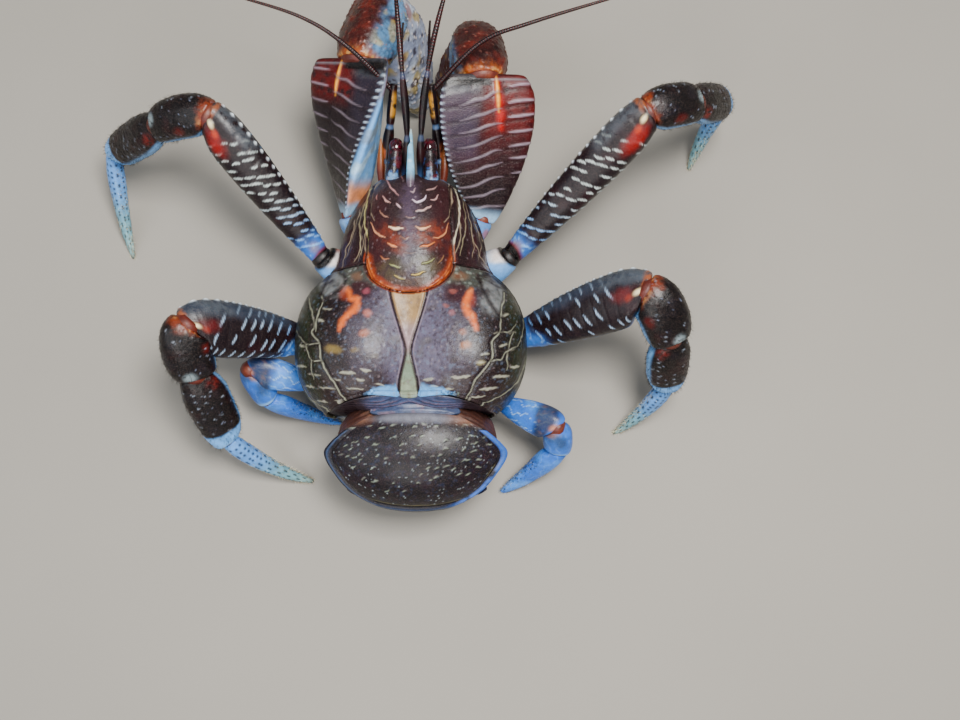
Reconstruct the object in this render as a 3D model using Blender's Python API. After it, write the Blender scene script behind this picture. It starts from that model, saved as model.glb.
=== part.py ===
"""A coconut crab (Birgus latro), life size, standing on the floor with its claws set down in front of it.

Lengths are in millimetres and become Blender's metres when a mesh is made. The crab faces -Y, its left side
is at +X and the floor is z = 0. Each plate of the shell is an object of its own, and neighbours keep a small gap.
"""

import math

import bmesh
import bpy
import numpy as np
from mathutils import Vector

MM = 0.001
GAP = 0.3

# Where the point under the middle of the carapace stands, so that the origin is under the middle of the whole crab.
STAND = np.array((0.2, 53.0, 0.0))

LEFT, RIGHT = 1, -1
SIDES = {"left": LEFT, "right": RIGHT}

# Lobes whose smooth union is the trunk: centre, radii and squareness. Paired ones are mirrored.
SHIELD_LOBE = ((0, -49, 50), (20.3, 31.5, 27.5), 2.7)
FLANK_LOBE = ((0, -44, 43), (33.5, 38, 25), 2.2)
DOME_LOBE = ((23.5, -3, 48), (30, 35, 28.5), 2.25)
BELLY_LOBE = ((0, -22, 32), (27, 50, 13), 2.2)
HEAD_LOBE = ((0, -64, 44), (17, 16, 22), 2.5)
LOBE_BLEND = 4.0
TRUNK_AXIS_HEIGHT = 46.0
TRUNK_FRONT, TRUNK_REAR = -80.0, 28.5
TRUNK_STATIONS, TRUNK_SIDES = 21, 26
TRUNK_REACH = 75.0

BELLY_TOP = 37.0
DOME_FRONT = -37.0
SHIELD_HALF_WIDTH = 20.2
SHIELD_FRONT_HALF_WIDTH = 15.5
SHIELD_ARC_CENTRE = -37.0
SHIELD_ARC_LENGTH = 14.8
WEDGE_FRONT_HALF_WIDTH, WEDGE_WAIST_HALF_WIDTH, WEDGE_REAR_HALF_WIDTH = 8.3, 0.9, 5.2
WEDGE_WAIST_Y = 1.0
# The hollow in the rear edge of the carapace, seen from above.
REAR_NOTCH = ((36, 29), (26, 26.6), (14, 24.2), (0, 23.4))
ROSTRUM_TIP = (0, -101, 71)
ROSTRUM_ROOT = (0, -66, 71)
ROSTRUM_HALF = (3.4, 3.2)

# The soft sac of the abdomen, and the plates on it by the angle that they cover round its back.
SAC_CENTRE = (-2.6, 40.5, 36)
SAC_RADII = (37, 28, 23)
SAC_SIDES, SAC_STATIONS = 20, 12
# Plates lie on a wider form than the sac, so that their sides stand off it.
PLATE_RADII = (43, 28, 23)
# Name: first angle, last angle (90 is the top, 0 the rear, -90 under), half width, thickness, how far off the sac.
PLATES = {
    "abdomen_plate_1": (122, 111.5, 21, 1.5, 0.3),
    "abdomen_plate_2": (110, 4, 41.3, 2.4, 0.9),
    "abdomen_plate_3": (0, -26, 33, 1.9, 0.4),
    "abdomen_plate_4": (-30, -50, 27, 1.8, 0.4),
    "abdomen_plate_5": (-54, -70, 20, 1.6, 0.4),
    "tail_plate": (-74, -88, 12, 1.5, 0.4),
}
# Width of a plate along its length, as a share of its half width: the great second plate and the others.
GREAT_OUTLINE = ((0, 0.5), (0.1, 0.74), (0.3, 0.97), (0.45, 1.0), (0.65, 0.9), (0.85, 0.68), (1, 0.3))
RIM_HEIGHT = 1.1
PLATE_OUTLINE = ((0, 0.9), (0.4, 1.0), (0.8, 0.92), (1, 0.78))

# A ring that leans where a limb bends is made this much narrower, as a power of the cosine of its lean.
JOINT_NARROWING = 0.75

# Sides of the rounded polygons that limbs have in section: direction in degrees and distance.
# 0 is the face that the back view shows, 90 the crest of the limb and 270 its inner edge.
OVAL = ((0, 1), (90, 1), (180, 1), (270, 1))
WEDGED = ((0, 0.66), (128, 0.78), (228, 0.8))

# Shapes of the limb articles along their length: station, half thickness, half height, as shares of the article's own.
BASIS_FORM = ((0, 0.8, 0.8), (0.4, 1.0, 1.0), (0.75, 0.95, 0.95), (1, 0.72, 0.72))
MERUS_FORM = ((0, 0.5, 0.46), (0.2, 0.74, 0.66), (0.5, 0.95, 0.9), (0.78, 1.0, 1.0), (0.93, 0.97, 0.97), (1, 0.88, 0.88))
CARPUS_FORM = ((0, 0.78, 0.78), (0.2, 0.95, 0.95), (0.55, 1.0, 1.0), (0.85, 0.94, 0.94), (1, 0.84, 0.84))
PROPODUS_FORM = ((0, 0.72, 0.72), (0.2, 0.96, 0.96), (0.5, 1.0, 1.0), (0.85, 0.86, 0.84), (1, 0.62, 0.6))
DACTYL_FORM = ((0, 0.9, 0.9), (0.12, 1.0, 1.0), (0.5, 0.82, 0.82), (0.82, 0.5, 0.5), (1, 0.2, 0.2))
CLAW_MERUS_FORM = ((0, 0.4, 0.24), (0.2, 0.66, 0.56), (0.5, 0.9, 0.88), (0.76, 1.0, 1.0), (0.94, 0.92, 0.95), (1, 0.84, 0.86))

# Walking legs: the joints from the trunk to the tip, the way the crest of the merus faces, and for each article
# after the basis its half thickness and half height.
WALKING_LEGS = {
    "leg_2_left": (
        ((20, -36, 29), (44, -49, 39), (91, -103, 81), (118, -105, 66), (150, -105, 30), (146, -61, 0)),
        (-0.7, -0.6, 0.45),
        ((7.6, 10.2), (8.0, 10.0), (7.0, 9.4), (4.0, 4.4)),
    ),
    "leg_2_right": (
        ((-20, -36, 29), (-46, -49, 39), (-108, -104, 83), (-131, -113, 72), (-152, -128, 40), (-141, -109, 0)),
        (0.6, -0.75, 0.4),
        ((7.6, 10.2), (8.0, 10.0), (7.0, 9.4), (4.0, 4.4)),
    ),
    "leg_3_left": (
        ((22, -12, 27), (49, -10, 30), (98, -7, 74), (97, 12, 58), (87, 38, 28), (51, 54, 0)),
        (0.1, -1.0, 0.35),
        ((7.8, 13.0), (8.4, 11.4), (7.0, 10.4), (4.0, 4.4)),
    ),
    "leg_3_right": (
        ((-22, -12, 27), (-49, -12, 30), (-106, -22, 76), (-118, -4, 61), (-120, 13, 33), (-99, 30, 0)),
        (-0.1, -1.0, 0.35),
        ((7.8, 13.0), (8.4, 11.4), (7.0, 10.0), (4.0, 4.4)),
    ),
}
LEG_ARTICLES = ("basis", "merus", "carpus", "propodus", "dactyl")
BASIS_HALF = 8.4
CARPUS_SWELL = 5.0
DACTYL_BOW = 5.0

# The small fourth legs end in a little pincer: joints, crest, and half sizes of merus, carpus and hand.
SMALL_LEGS = {
    "leg_4_left": (((24, 10, 26), (48, 10, 27), (77, 5, 35), (70, 17, 21), (38, 25, 0)), (0.2, -1.0, 0.5)),
    "leg_4_right": (((-22, 15, 26), (-42, 20, 27), (-68, 33, 37), (-69, 42, 25), (-43, 59, 0)), (-0.6, -0.8, 0.5)),
}
SMALL_LEG_HALVES = ((5.6, 8.0), (5.6, 7.0), (4.4, 5.6))

# Claws: joints from the trunk to the fingertips, the way the crest of the merus faces and how far it twists towards
# the middle, the way the movable finger faces, and a scale, the left claw being the larger.
CLAWS = {
    "claw_left": (((15, -55, 29), (31, -70, 39), (24, -134, 71), (14, -170, 61), (-2, -140, 0)), (-0.6, 0, 0.8), 40, (-0.25, -1, 0), 1.0),
    "claw_right": (((-15, -55, 29), (-33, -68, 39), (-33, -126, 71), (-29, -153, 57), (-14, -122, 0)), (0.97, 0, 0.25), 0, (0.25, -1, 0), 0.93),
}
CLAW_MERUS_HALF = (13.5, 16.8)
CLAW_CARPUS_HALF = (13.5, 14.2)
PALM_HALF_THICKNESS = 10.5
# The palm with its fixed finger, seen from the side: station along the hand, lower edge and upper edge.
PALM_OUTLINE = (
    (0, -8.5, 8.5), (0.1, -12.5, 13), (0.28, -16.5, 18), (0.45, -17, 18.5), (0.55, -15.8, 16.8), (0.585, -15.4, 0.8),
    (0.7, -12.6, 0.2), (0.82, -9.4, -0.3), (0.92, -5.8, -0.4), (1, -2.0, 0.2),
)
PALM_THICKNESS = ((0, 0.62), (0.15, 0.9), (0.35, 1.0), (0.55, 0.84), (0.75, 0.52), (0.9, 0.34), (1, 0.14))
FINGER_OUTLINE = ((0, 2.0, 16.2), (0.25, 1.6, 15.6), (0.5, 1.2, 12.6), (0.75, 0.7, 8.0), (0.92, 0.5, 4.0), (1, 0.6, 2.2))
FINGER_THICKNESS = ((0, 0.76), (0.3, 0.66), (0.6, 0.48), (0.85, 0.3), (1, 0.14))
FINGER_START = 0.6
FINGER_END = 0.985

# Rows of little spines and knobs along an article: first and last station, angle round it, how many, how far they
# stand out, half width at the root, and how far they lean towards the tip.
MERUS_STUDS = ((0.16, 0.9, 80, 7, 0.9, 0.9, 0.1), (0.3, 0.88, 350, 4, 0.7, 0.9, 0.1))
CLAW_MERUS_STUDS = ((0.2, 0.92, 64, 9, 0.9, 1.0, 0.1),)
DACTYL_STUDS = ((0.16, 0.84, 30, 5, 0.9, 0.5, 0.6), (0.2, 0.8, 110, 4, 0.9, 0.5, 0.6), (0.16, 0.84, 330, 5, 0.9, 0.5, 0.6))
PALM_STUDS = ((0.14, 0.54, 20, 4, 0.8, 1.0, 0.1), (0.2, 0.48, 50, 3, 0.8, 1.0, 0.1), (0.2, 0.48, 340, 2, 0.8, 1.0, 0.1))

# Raised crescents on the shield and short ridges on the domes: x, y and half width, on both sides of the middle.
SHIELD_RIDGES = ((4.5, -70, 2.0), (10.5, -72, 2.0), (3.8, -61, 2.0), (11.8, -62, 2.2), (8.2, -54, 2.4), (13.2, -47, 2.2), (6.5, -43.5, 2.4), (10.5, -35, 2.2))
DOME_RIDGES = ((14, 3, 2.0), (23, 10, 2.4), (31, 2, 2.4), (37, 10, 2.2), (17, 15, 2.2), (28, 19, 2.4), (35, -9, 2.2), (12, 22, 2.0))
RIDGE_HEIGHT, RIDGE_SAG = 0.55, 0.9
ORBIT = (8.6, -83.0, 5.6, 4.6)

EYESTALK_HALF = (3.2, 4.0)
EYE_RADII = (3.4, 4.6, 3.8)
EYESTALKS = {"left": ((8.6, -77, 64), (6.6, -98, 68)), "right": ((-9.4, -77, 64), (-8.2, -98, 68))}

# Antennae: the stout stalk from its root to where the whip starts, and the points that the whip passes.
ANTENNAE = {
    "left": (((13.5, -74, 51), (12.2, -93, 57), (9.8, -106, 68), (7.5, -119, 80)), ((28, -132, 92), (49, -143, 99), (84, -154, 101))),
    "right": (((-13.5, -74, 51), (-12.9, -94, 56), (-11.0, -107, 68), (-9.5, -119, 80)), ((-32, -134, 91), (-55, -141, 97), (-110, -158, 99))),
}
ANTENNA_HALF = 2.3
WHIP_RADII = (1.35, 0.55)
ANTENNULES = {
    "left": ((3.6, -78, 56), (1.5, -97, 76), (3.2, -122, 94), (5.5, -150, 102), (6.5, -158, 92)),
    "right": ((-4.4, -78, 56), (-5.0, -97, 76), (-9.0, -124, 92), (-16, -150, 103), (-19, -160, 95)),
}
ANTENNULE_RADII = (1.7, 0.6)
MOUTH_LEGS = {"left": ((7, -66, 28), (9.5, -82, 33), (6.5, -92, 24), (4.5, -88, 14)), "right": ((-7, -66, 28), (-9.5, -82, 33), (-6.5, -92, 24), (-4.5, -88, 14))}
MOUTH_LEG_HALF = (3.2, 4.4)

# Finish of each material: colour, roughness and metallic value.
FINISHES = {
    "dark_shell": ((0.105, 0.055, 0.07), 0.34, 0.0),
    "red_shell": ((0.30, 0.08, 0.05), 0.36, 0.0),
    "blue_shell": ((0.13, 0.29, 0.58), 0.38, 0.0),
    "pale_blue_shell": ((0.42, 0.62, 0.74), 0.42, 0.0),
    "tan_shell": ((0.42, 0.31, 0.20), 0.6, 0.0),
    "sac_skin": ((0.30, 0.17, 0.13), 0.65, 0.0),
    "feeler": ((0.14, 0.035, 0.04), 0.4, 0.0),
    "eye": ((0.11, 0.012, 0.02), 0.12, 0.0),
}


def clear_scene():
    """Removes what the startup file left."""
    for obj in list(bpy.data.objects):
        bpy.data.objects.remove(obj)


def vec(point):
    """A point or direction as an array."""
    return np.array(point, float)


def unit(vector):
    """The vector, or each row of them, with length 1."""
    vector = np.asarray(vector, float)
    return vector / np.linalg.norm(vector, axis=-1, keepdims=True)


def through(rows, t):
    """Smooth values at t through rows of (station, value, ...)."""
    rows = np.array(rows, float)
    t = np.asarray(t, float)
    at, values = rows[:, 0], rows[:, 1:]
    slopes = np.gradient(values, at, axis=0)
    i = np.clip(np.searchsorted(at, t, side="right") - 1, 0, len(at) - 2)
    span = (at[i + 1] - at[i])[..., None]
    s = np.clip((t - at[i])[..., None] / span, 0, 1)
    start = (2 * s**3 - 3 * s**2 + 1) * values[i] + (s**3 - 2 * s**2 + s) * span * slopes[i]
    end = (3 * s**2 - 2 * s**3) * values[i + 1] + (s**3 - s**2) * span * slopes[i + 1]
    return start + end


def rounded_section(angles, flats, sharpness):
    """The radius, at each angle, of a rounded polygon with these sides."""
    total = sum(
        (np.maximum(np.cos(angles - math.radians(way)), 0) / distance) ** sharpness for way, distance in flats
    )
    return total ** (-1 / sharpness)


def finish(name):
    """The material of that name, made when it is first asked for."""
    if name in bpy.data.materials:
        return bpy.data.materials[name]
    colour, roughness, metallic = FINISHES[name]
    material = bpy.data.materials.new(name)
    material.use_nodes = True
    shader = material.node_tree.nodes["Principled BSDF"]
    shader.inputs["Base Color"].default_value = (*colour, 1)
    shader.inputs["Roughness"].default_value = roughness
    shader.inputs["Metallic"].default_value = metallic
    material.diffuse_color = (*colour, 1)
    return material


def mesh_object(name, points, faces, material):
    """An object from points in millimetres of the crab's own frame."""
    mesh = bpy.data.meshes.new(name)
    mesh.from_pydata([tuple((vec(p) + STAND) * MM) for p in points], [], faces)
    obj = bpy.data.objects.new(name, mesh)
    crab_pieces.objects.link(obj)
    mesh.materials.append(finish(material))
    face_out(mesh)
    return obj


def face_out(mesh):
    """Splits a closed mesh's faces into triangles and turns them outwards."""
    work = bmesh.new()
    work.from_mesh(mesh)
    bmesh.ops.triangulate(work, faces=work.faces)
    bmesh.ops.recalc_face_normals(work, faces=work.faces)
    if work.calc_volume(signed=True) < 0:
        bmesh.ops.reverse_faces(work, faces=work.faces)
    work.to_mesh(mesh)
    work.free()


def loft(name, rings, material):
    """A closed skin over rings of as many points each, with a flat end on the first and the last."""
    rings = np.asarray(rings, float)
    count, sides = rings.shape[:2]
    faces = []
    for ring in range(count - 1):
        for side in range(sides):
            after = (side + 1) % sides
            faces.append((ring * sides + side, ring * sides + after, (ring + 1) * sides + after, (ring + 1) * sides + side))
    faces.append(tuple(range(sides))[::-1])
    faces.append(tuple(range((count - 1) * sides, count * sides)))
    return mesh_object(name, rings.reshape(-1, 3), faces, material)


def largest_part(mesh):
    """Keeps only the largest closed surface of a mesh."""
    work = bmesh.new()
    work.from_mesh(mesh)
    left, parts = set(work.verts), []
    while left:
        stack, part = [left.pop()], []
        while stack:
            vert = stack.pop()
            part.append(vert)
            for edge in vert.link_edges:
                other = edge.other_vert(vert)
                if other in left:
                    left.remove(other)
                    stack.append(other)
        parts.append(part)
    size = [np.ptp([v.co for v in part], axis=0).prod() for part in parts]
    keep = size.index(max(size))
    bmesh.ops.delete(work, geom=[v for i, part in enumerate(parts) if i != keep for v in part], context="VERTS")
    work.to_mesh(mesh)
    work.free()


def boolean(obj, operation, others, solver="EXACT", keep_others=False):
    """Applies one Boolean of obj with all the other objects, then removes them."""
    tools = bpy.data.collections.new("boolean_tools")
    for other in others:
        tools.objects.link(other)
    modifier = obj.modifiers.new(operation.lower(), "BOOLEAN")
    modifier.operation = operation
    modifier.operand_type = "COLLECTION"
    modifier.collection = tools
    modifier.solver = solver
    bpy.context.view_layer.update()
    graph = bpy.context.evaluated_depsgraph_get()
    result = bpy.data.meshes.new_from_object(obj.evaluated_get(graph))
    obj.modifiers.clear()
    obj.data = result
    bpy.data.collections.remove(tools)
    if not keep_others:
        for other in others:
            bpy.data.objects.remove(other)
    largest_part(obj.data)
    return obj


def copy_of(obj, name):
    """A second object with a mesh of its own."""
    twin = bpy.data.objects.new(name, obj.data.copy())
    crab_pieces.objects.link(twin)
    return twin


def cut_plane(obj, point, normal):
    """Cuts away what lies past a plane, and closes the cut with a flat face."""
    work = bmesh.new()
    work.from_mesh(obj.data)
    place = Vector((vec(point) + STAND) * MM)
    geometry = list(work.verts) + list(work.edges) + list(work.faces)
    bmesh.ops.bisect_plane(
        work, geom=geometry, dist=1e-6, plane_co=place, plane_no=Vector(normal).normalized(), clear_outer=True
    )
    open_edges = [edge for edge in work.edges if edge.is_boundary]
    bmesh.ops.holes_fill(work, edges=open_edges, sides=0)
    work.to_mesh(obj.data)
    work.free()
    largest_part(obj.data)
    face_out(obj.data)
    return obj


def clear_of(obj, neighbours, gap=GAP):
    """Cuts obj back so that it keeps a gap to its neighbours."""
    cutters = []
    for neighbour in neighbours:
        cutter = copy_of(neighbour, "cutter")
        for vert in cutter.data.vertices:
            vert.co += vert.normal * gap * 1.6 * MM
        cutters.append(cutter)
    return boolean(obj, "DIFFERENCE", cutters)


def prism(outline, low, high):
    """An upright block with this outline seen from above."""
    rings = [[(x, y, z) for x, y in outline] for z in (low, high)]
    return loft("cutter", rings, "dark_shell")


def lobe_depth(points, centre, radii, squareness):
    """How far outside a lobe each point is, in millimetres, below 0 inside."""
    share = (np.abs((points - vec(centre)) / vec(radii)) ** squareness).sum(-1) ** (1 / squareness)
    return (share - 1) * min(radii)


def trunk_depth(points):
    """How far outside the trunk each point is: the smooth union of its lobes."""
    mirrored = points * vec((-1, 1, 1))
    total = sum(
        np.exp(-lobe_depth(where, *lobe) / LOBE_BLEND)
        for where, lobe in (
            (points, SHIELD_LOBE),
            (points, FLANK_LOBE),
            (points, DOME_LOBE),
            (mirrored, DOME_LOBE),
            (points, BELLY_LOBE),
            (points, HEAD_LOBE),
        )
    )
    return -LOBE_BLEND * np.log(total)


def trunk_ring(y, angles):
    """The trunk's outline in the plane at y, found by looking out from its axis."""
    ways = np.stack([np.sin(angles), np.zeros_like(angles), np.cos(angles)], -1)
    axis = vec((0, y, TRUNK_AXIS_HEIGHT))
    near, far = np.zeros(len(angles)), np.full(len(angles), TRUNK_REACH)
    reach = np.linspace(0, TRUNK_REACH, 300)
    inside = trunk_depth(axis + ways[:, None] * reach[None, :, None]) < 0
    last = inside.shape[1] - 1 - inside[:, ::-1].argmax(1)
    near = np.where(inside.any(1), reach[last], 0.5)
    far = near + reach[1]
    for _ in range(20):
        middle = (near + far) / 2
        out = trunk_depth(axis + ways * middle[:, None]) > 0
        near, far = np.where(out, near, middle), np.where(out, middle, far)
    return axis + ways * near[:, None]


def whole_trunk():
    """The cephalothorax in one piece, from the front of the head to the waist."""
    steps = np.linspace(0, 1, TRUNK_STATIONS)
    stations = TRUNK_FRONT + (TRUNK_REAR - TRUNK_FRONT) * (steps + 0.35 * np.sin(np.pi * steps) ** 2 * (0.5 - steps) * -0.6)
    angles = np.linspace(0, 2 * np.pi, TRUNK_SIDES, endpoint=False)
    trunk = loft("trunk", [trunk_ring(y, angles) for y in stations], "dark_shell")
    right = [(36, 60), *REAR_NOTCH]
    return boolean(trunk, "DIFFERENCE", [prism(right + [(-x, y) for x, y in right[-2::-1]], -50, 200)])


def trunk_top(x, y):
    """The height of the trunk's upper side over each place."""
    low, high = np.full(np.shape(x), TRUNK_AXIS_HEIGHT), np.full(np.shape(x), 110.0)
    for _ in range(24):
        middle = (low + high) / 2
        out = trunk_depth(np.stack([x, y, middle], -1)) > 0
        low, high = np.where(out, low, middle), np.where(out, middle, high)
    return low


def shell_ridges(places, sag):
    """Low crescents that lie on the top of the trunk, on both sides of the middle."""
    made = []
    for x, y, half in places:
        for sign in (LEFT, RIGHT):
            rings = []
            for share in np.linspace(-1, 1, 4):
                across = sign * x + share * half
                depth = y + 0.2 + sag * (1 - share**2)
                strength = 1 - share**2 * 0.85
                at_x = np.full(3, across)
                at_y = depth + np.array((-0.7, 0, 0.7)) * strength
                rise = np.array((-0.5, RIDGE_HEIGHT * strength, -0.5))
                rings.append(np.stack([at_x, at_y, trunk_top(at_x, at_y) + rise], -1))
            made.append(loft("ridge", rings, "dark_shell"))
    return made


def shield_outline(grow):
    """The shield seen from above: tapering sides and a round rear edge."""
    half = SHIELD_HALF_WIDTH + grow
    turn = np.linspace(0, np.pi, 13)
    arc = [(half * math.cos(a), SHIELD_ARC_CENTRE + (SHIELD_ARC_LENGTH + grow) * math.sin(a)) for a in turn]
    front = SHIELD_FRONT_HALF_WIDTH + grow
    return [(front, -120), *arc, (-front, -120)]


def wedge_outline(grow):
    """The plate between the domes seen from above, pinched at its waist."""
    edge = (
        (WEDGE_FRONT_HALF_WIDTH, -40),
        (WEDGE_FRONT_HALF_WIDTH, -23),
        (WEDGE_WAIST_HALF_WIDTH, WEDGE_WAIST_Y),
        (WEDGE_REAR_HALF_WIDTH, 22),
        (WEDGE_REAR_HALF_WIDTH, 60),
    )
    right = [(x + grow, y) for x, y in edge]
    return right + [(-x, y) for x, y in reversed(right)]


def carve(obj, outline, low, name, material):
    """Takes the part of obj inside an upright block off as a new object, with a gap all round it."""
    inner = prism(outline(-GAP / 2), low + GAP / 2, 200)
    outer = prism(outline(GAP / 2), low - GAP / 2, 200)
    piece = copy_of(obj, name)
    piece.data.materials.clear()
    piece.data.materials.append(finish(material))
    boolean(piece, "INTERSECT", [inner])
    boolean(obj, "DIFFERENCE", [outer])
    return piece


def make_trunk():
    """The trunk parted by thin cuts into belly, shield, wedge, flanks and domes."""
    trunk = whole_trunk()
    belly = copy_of(trunk, "belly")
    cut_plane(belly, (0, 0, BELLY_TOP - GAP / 2), (0, 0, 1))
    cut_plane(trunk, (0, 0, BELLY_TOP + GAP / 2), (0, 0, -1))
    shield = carve(trunk, shield_outline, BELLY_TOP - 10, "shield", "red_shell")
    wedge = copy_of(trunk, "wedge")
    boolean(wedge, "INTERSECT", [prism(wedge_outline(-GAP / 2), 0, 200)])
    made = {"belly": belly, "shield": shield, "wedge": wedge}
    for side, sign in SIDES.items():
        half = copy_of(trunk, "half")
        reach = [(sign * x, y) for x, y in ((0, -150), (150, -150), (150, 150), (0, 150))]
        boolean(half, "INTERSECT", [prism(reach, 0, 200)])
        boolean(half, "DIFFERENCE", [prism(wedge_outline(GAP / 2), 0, 200)])
        dome = copy_of(half, f"dome_{side}")
        cut_plane(dome, (0, DOME_FRONT + GAP / 2, 0), (0, -1, 0))
        half.name = f"flank_{side}"
        cut_plane(half, (0, DOME_FRONT - GAP / 2, 0), (0, 1, 0))
        made[f"dome_{side}"], made[f"flank_{side}"] = dome, half
    bpy.data.objects.remove(trunk)
    rostrum = tapered_tube("rostrum", (ROSTRUM_ROOT, ROSTRUM_TIP), ROSTRUM_HALF, 0.14, 8, 5, "red_shell")
    boolean(shield, "UNION", [rostrum])
    x, y, wide, deep = ORBIT
    turn = np.linspace(0, 2 * np.pi, 12, endpoint=False)
    holes = [[(sign * x + wide * math.cos(a), y + deep * math.sin(a)) for a in turn] for sign in (LEFT, RIGHT)]
    boolean(shield, "DIFFERENCE", [prism(hole, 60, 90) for hole in holes])
    return made


def add_shell_ridges(trunk):
    """Joins the raised marks to the shield and the domes."""
    boolean(trunk["shield"], "UNION", shell_ridges(SHIELD_RIDGES, RIDGE_SAG))
    ridges = shell_ridges(DOME_RIDGES, 0)
    boolean(trunk["dome_left"], "UNION", ridges[0::2])
    boolean(trunk["dome_right"], "UNION", ridges[1::2])


def sac_point(radii, angle, lateral, lift):
    """A point on the abdomen, by the angle round its back and the angle out to the side."""
    way = np.array((np.sin(lateral), np.cos(lateral) * np.cos(angle), np.cos(lateral) * np.sin(angle)))
    return vec(SAC_CENTRE) + (vec(radii) + lift) * way


def make_sac(trunk):
    """The soft sac of the abdomen, cut to the hollow that it fills in the rear of the trunk."""
    rings = []
    for turn in np.linspace(-0.96, 0.96, SAC_STATIONS) * np.pi / 2:
        angles = np.linspace(0, 2 * np.pi, SAC_SIDES, endpoint=False)
        rings.append([sac_point(SAC_RADII, a, turn, 0) for a in angles])
    sac = loft("abdomen_sac", rings, "sac_skin")
    cut_plane(sac, (0, REAR_NOTCH[-1][1] + GAP, 0), (0, -1, 0))
    return clear_of(sac, [trunk[name] for name in ("dome_left", "dome_right", "wedge", "belly")])


def make_plate(name, first, last, half_width, thickness, lift, trunk):
    """One plate of the abdomen: a curved slab that lies just off the sac."""
    great = name == "abdomen_plate_2"
    outline = GREAT_OUTLINE if great else PLATE_OUTLINE
    rows, columns = (11, 13) if great else (max(3, int(abs(first - last) / 9)), 11)
    rings = []
    for step in np.linspace(0, 1, rows):
        angle = math.radians(first + (last - first) * step)
        share = half_width / (PLATE_RADII[0] + lift + thickness) * float(through(outline, step)[0])
        across = np.linspace(-1, 1, columns) * math.asin(min(share, 0.985))
        edge = np.abs(np.linspace(-1, 1, columns)) > 0.95
        rim = np.where(edge | (step > 0.93), RIM_HEIGHT if great and step > 0.2 else 0, 0)
        outer = [sac_point(PLATE_RADII, angle, a, lift + thickness + more) for a, more in zip(across, rim)]
        inner = [sac_point(PLATE_RADII, angle, a, lift) for a in across[::-1]]
        rings.append(outer + inner)
    plate = loft(name, rings, "dark_shell")
    if first > 100:
        clear_of(plate, [trunk[piece] for piece in ("dome_left", "dome_right", "wedge")])
    return plate


def transported(facing, before, after):
    """The facing of one article carried over the bend to the next."""
    axis = np.cross(unit(before), unit(after))
    sine, cosine = np.linalg.norm(axis), float(unit(before) @ unit(after))
    if sine < 1e-6:
        return facing
    axis = axis / sine
    turned = facing * cosine + np.cross(axis, facing) * sine + axis * (axis @ facing) * (1 - cosine)
    return unit(turned)


def limb_rings(start, end, facing, halves, form, side, **more):
    """Rings of one article of a limb, from joint to joint.

    bow moves the middle of its line; first and last are the ways that its end faces look; ridges stand on the
    face that shows; flats and sharpness shape the section.
    """
    start, end = vec(start), vec(end)
    bow = vec(more.get("bow", (0, 0, 0)))
    middle = (start + end) / 2 + bow
    chord = unit(end - start)
    first, last = unit(more.get("first", chord)), unit(more.get("last", chord))
    zone = more.get("zone", 0.4)
    ridges, ridge = more.get("ridges", 0), more.get("ridge", 0.9)
    twist = math.radians(more.get("twist", 0))
    low, high = 0.12, 0.86
    pitch = (high - low) / max(ridges, 1)
    if "at" in more:
        steps = more["at"]
    elif ridges:
        steps = [0, 0.06] + [low + pitch * (k + part) for k in range(ridges) for part in (0, 0.62)] + [high, 0.94, 1]
    else:
        steps = np.linspace(0, 1, more.get("stations", 8))
    angles = np.linspace(0, 2 * np.pi, more.get("sides", 12), endpoint=False)
    radius = rounded_section(angles, more.get("flats", OVAL), more.get("sharpness", 2.4))
    rings = []
    for t in steps:
        centre = (1 - t) ** 2 * start + 2 * t * (1 - t) * middle + t**2 * end
        along = unit(2 * (1 - t) * (middle - start) + 2 * t * (end - middle))
        ends = max(0, 1 - t / zone) ** 2, max(0, 1 - (1 - t) / zone) ** 2
        plain = along
        along = unit(along + ends[0] * (first - unit(middle - start)) + ends[1] * (last - unit(end - middle)))
        slant = max(float(along @ plain), 0.2) ** JOINT_NARROWING
        out = unit(np.cross(facing, along)) * side
        crest = unit(np.cross(along, out)) * side
        turn = twist * (t - 0.5)
        out, crest = out * math.cos(turn) - crest * math.sin(turn), crest * math.cos(turn) + out * math.sin(turn)
        half_out, half_crest = through(form, t) * vec(halves) * slant
        lift = 0.0
        if ridges and 0.12 < t < 0.88:
            lift = ridge * (1 if round((t - 0.12) / pitch % 1, 3) > 0.5 else -0.25)
        shown = np.clip(np.cos(angles - 0.35) * 0.8 + 0.45, 0, 1)
        grow_out = radius * np.cos(angles) * half_out + lift * shown * np.cos(angles)
        grow_crest = radius * np.sin(angles) * half_crest + lift * shown * np.sin(angles)
        rings.append(centre + grow_out[:, None] * out + grow_crest[:, None] * crest)
    return rings


def tapered_tube(name, points, halves, tip_share, sides, stations, material):
    """A round tube through points, thinning from its root to its tip."""
    points = np.array(points, float)
    places = np.linspace(0, 1, len(points))
    line = np.column_stack([places, points])
    steps = np.linspace(0, 1, stations)
    centres = through(line, steps) if len(points) > 2 else points[0] + steps[:, None] * (points[-1] - points[0])
    along = unit(np.gradient(centres, axis=0))
    angles = np.linspace(0, 2 * np.pi, sides, endpoint=False)
    rings = []
    for centre, way, t in zip(centres, along, steps):
        out = unit(np.cross((0, 0, 1), way))
        up = np.cross(way, out)
        size = 1 - (1 - tip_share) * t
        ring = np.cos(angles)[:, None] * out * halves[0] + np.sin(angles)[:, None] * up * halves[1]
        rings.append(centre + ring * size)
    return loft(name, rings, material)


def add_studs(obj, rows, ring_at, along):
    """Joins rows of little cones to a limb, each standing out of its skin."""
    cones = []
    for first, last, angle, count, reach, size, lean in rows:
        for t in np.linspace(first, last, count):
            ring = ring_at(t)
            point = ring[round(angle / 10) % 36]
            way = unit(point - ring.mean(0))
            cones.append(tapered_tube("stud", (point - way * 0.6, point + (way + lean * along) * reach), (size, size), 0.35, 4, 2, obj.data.materials[0].name))
    if cones:
        boolean(obj, "UNION", cones)


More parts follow.
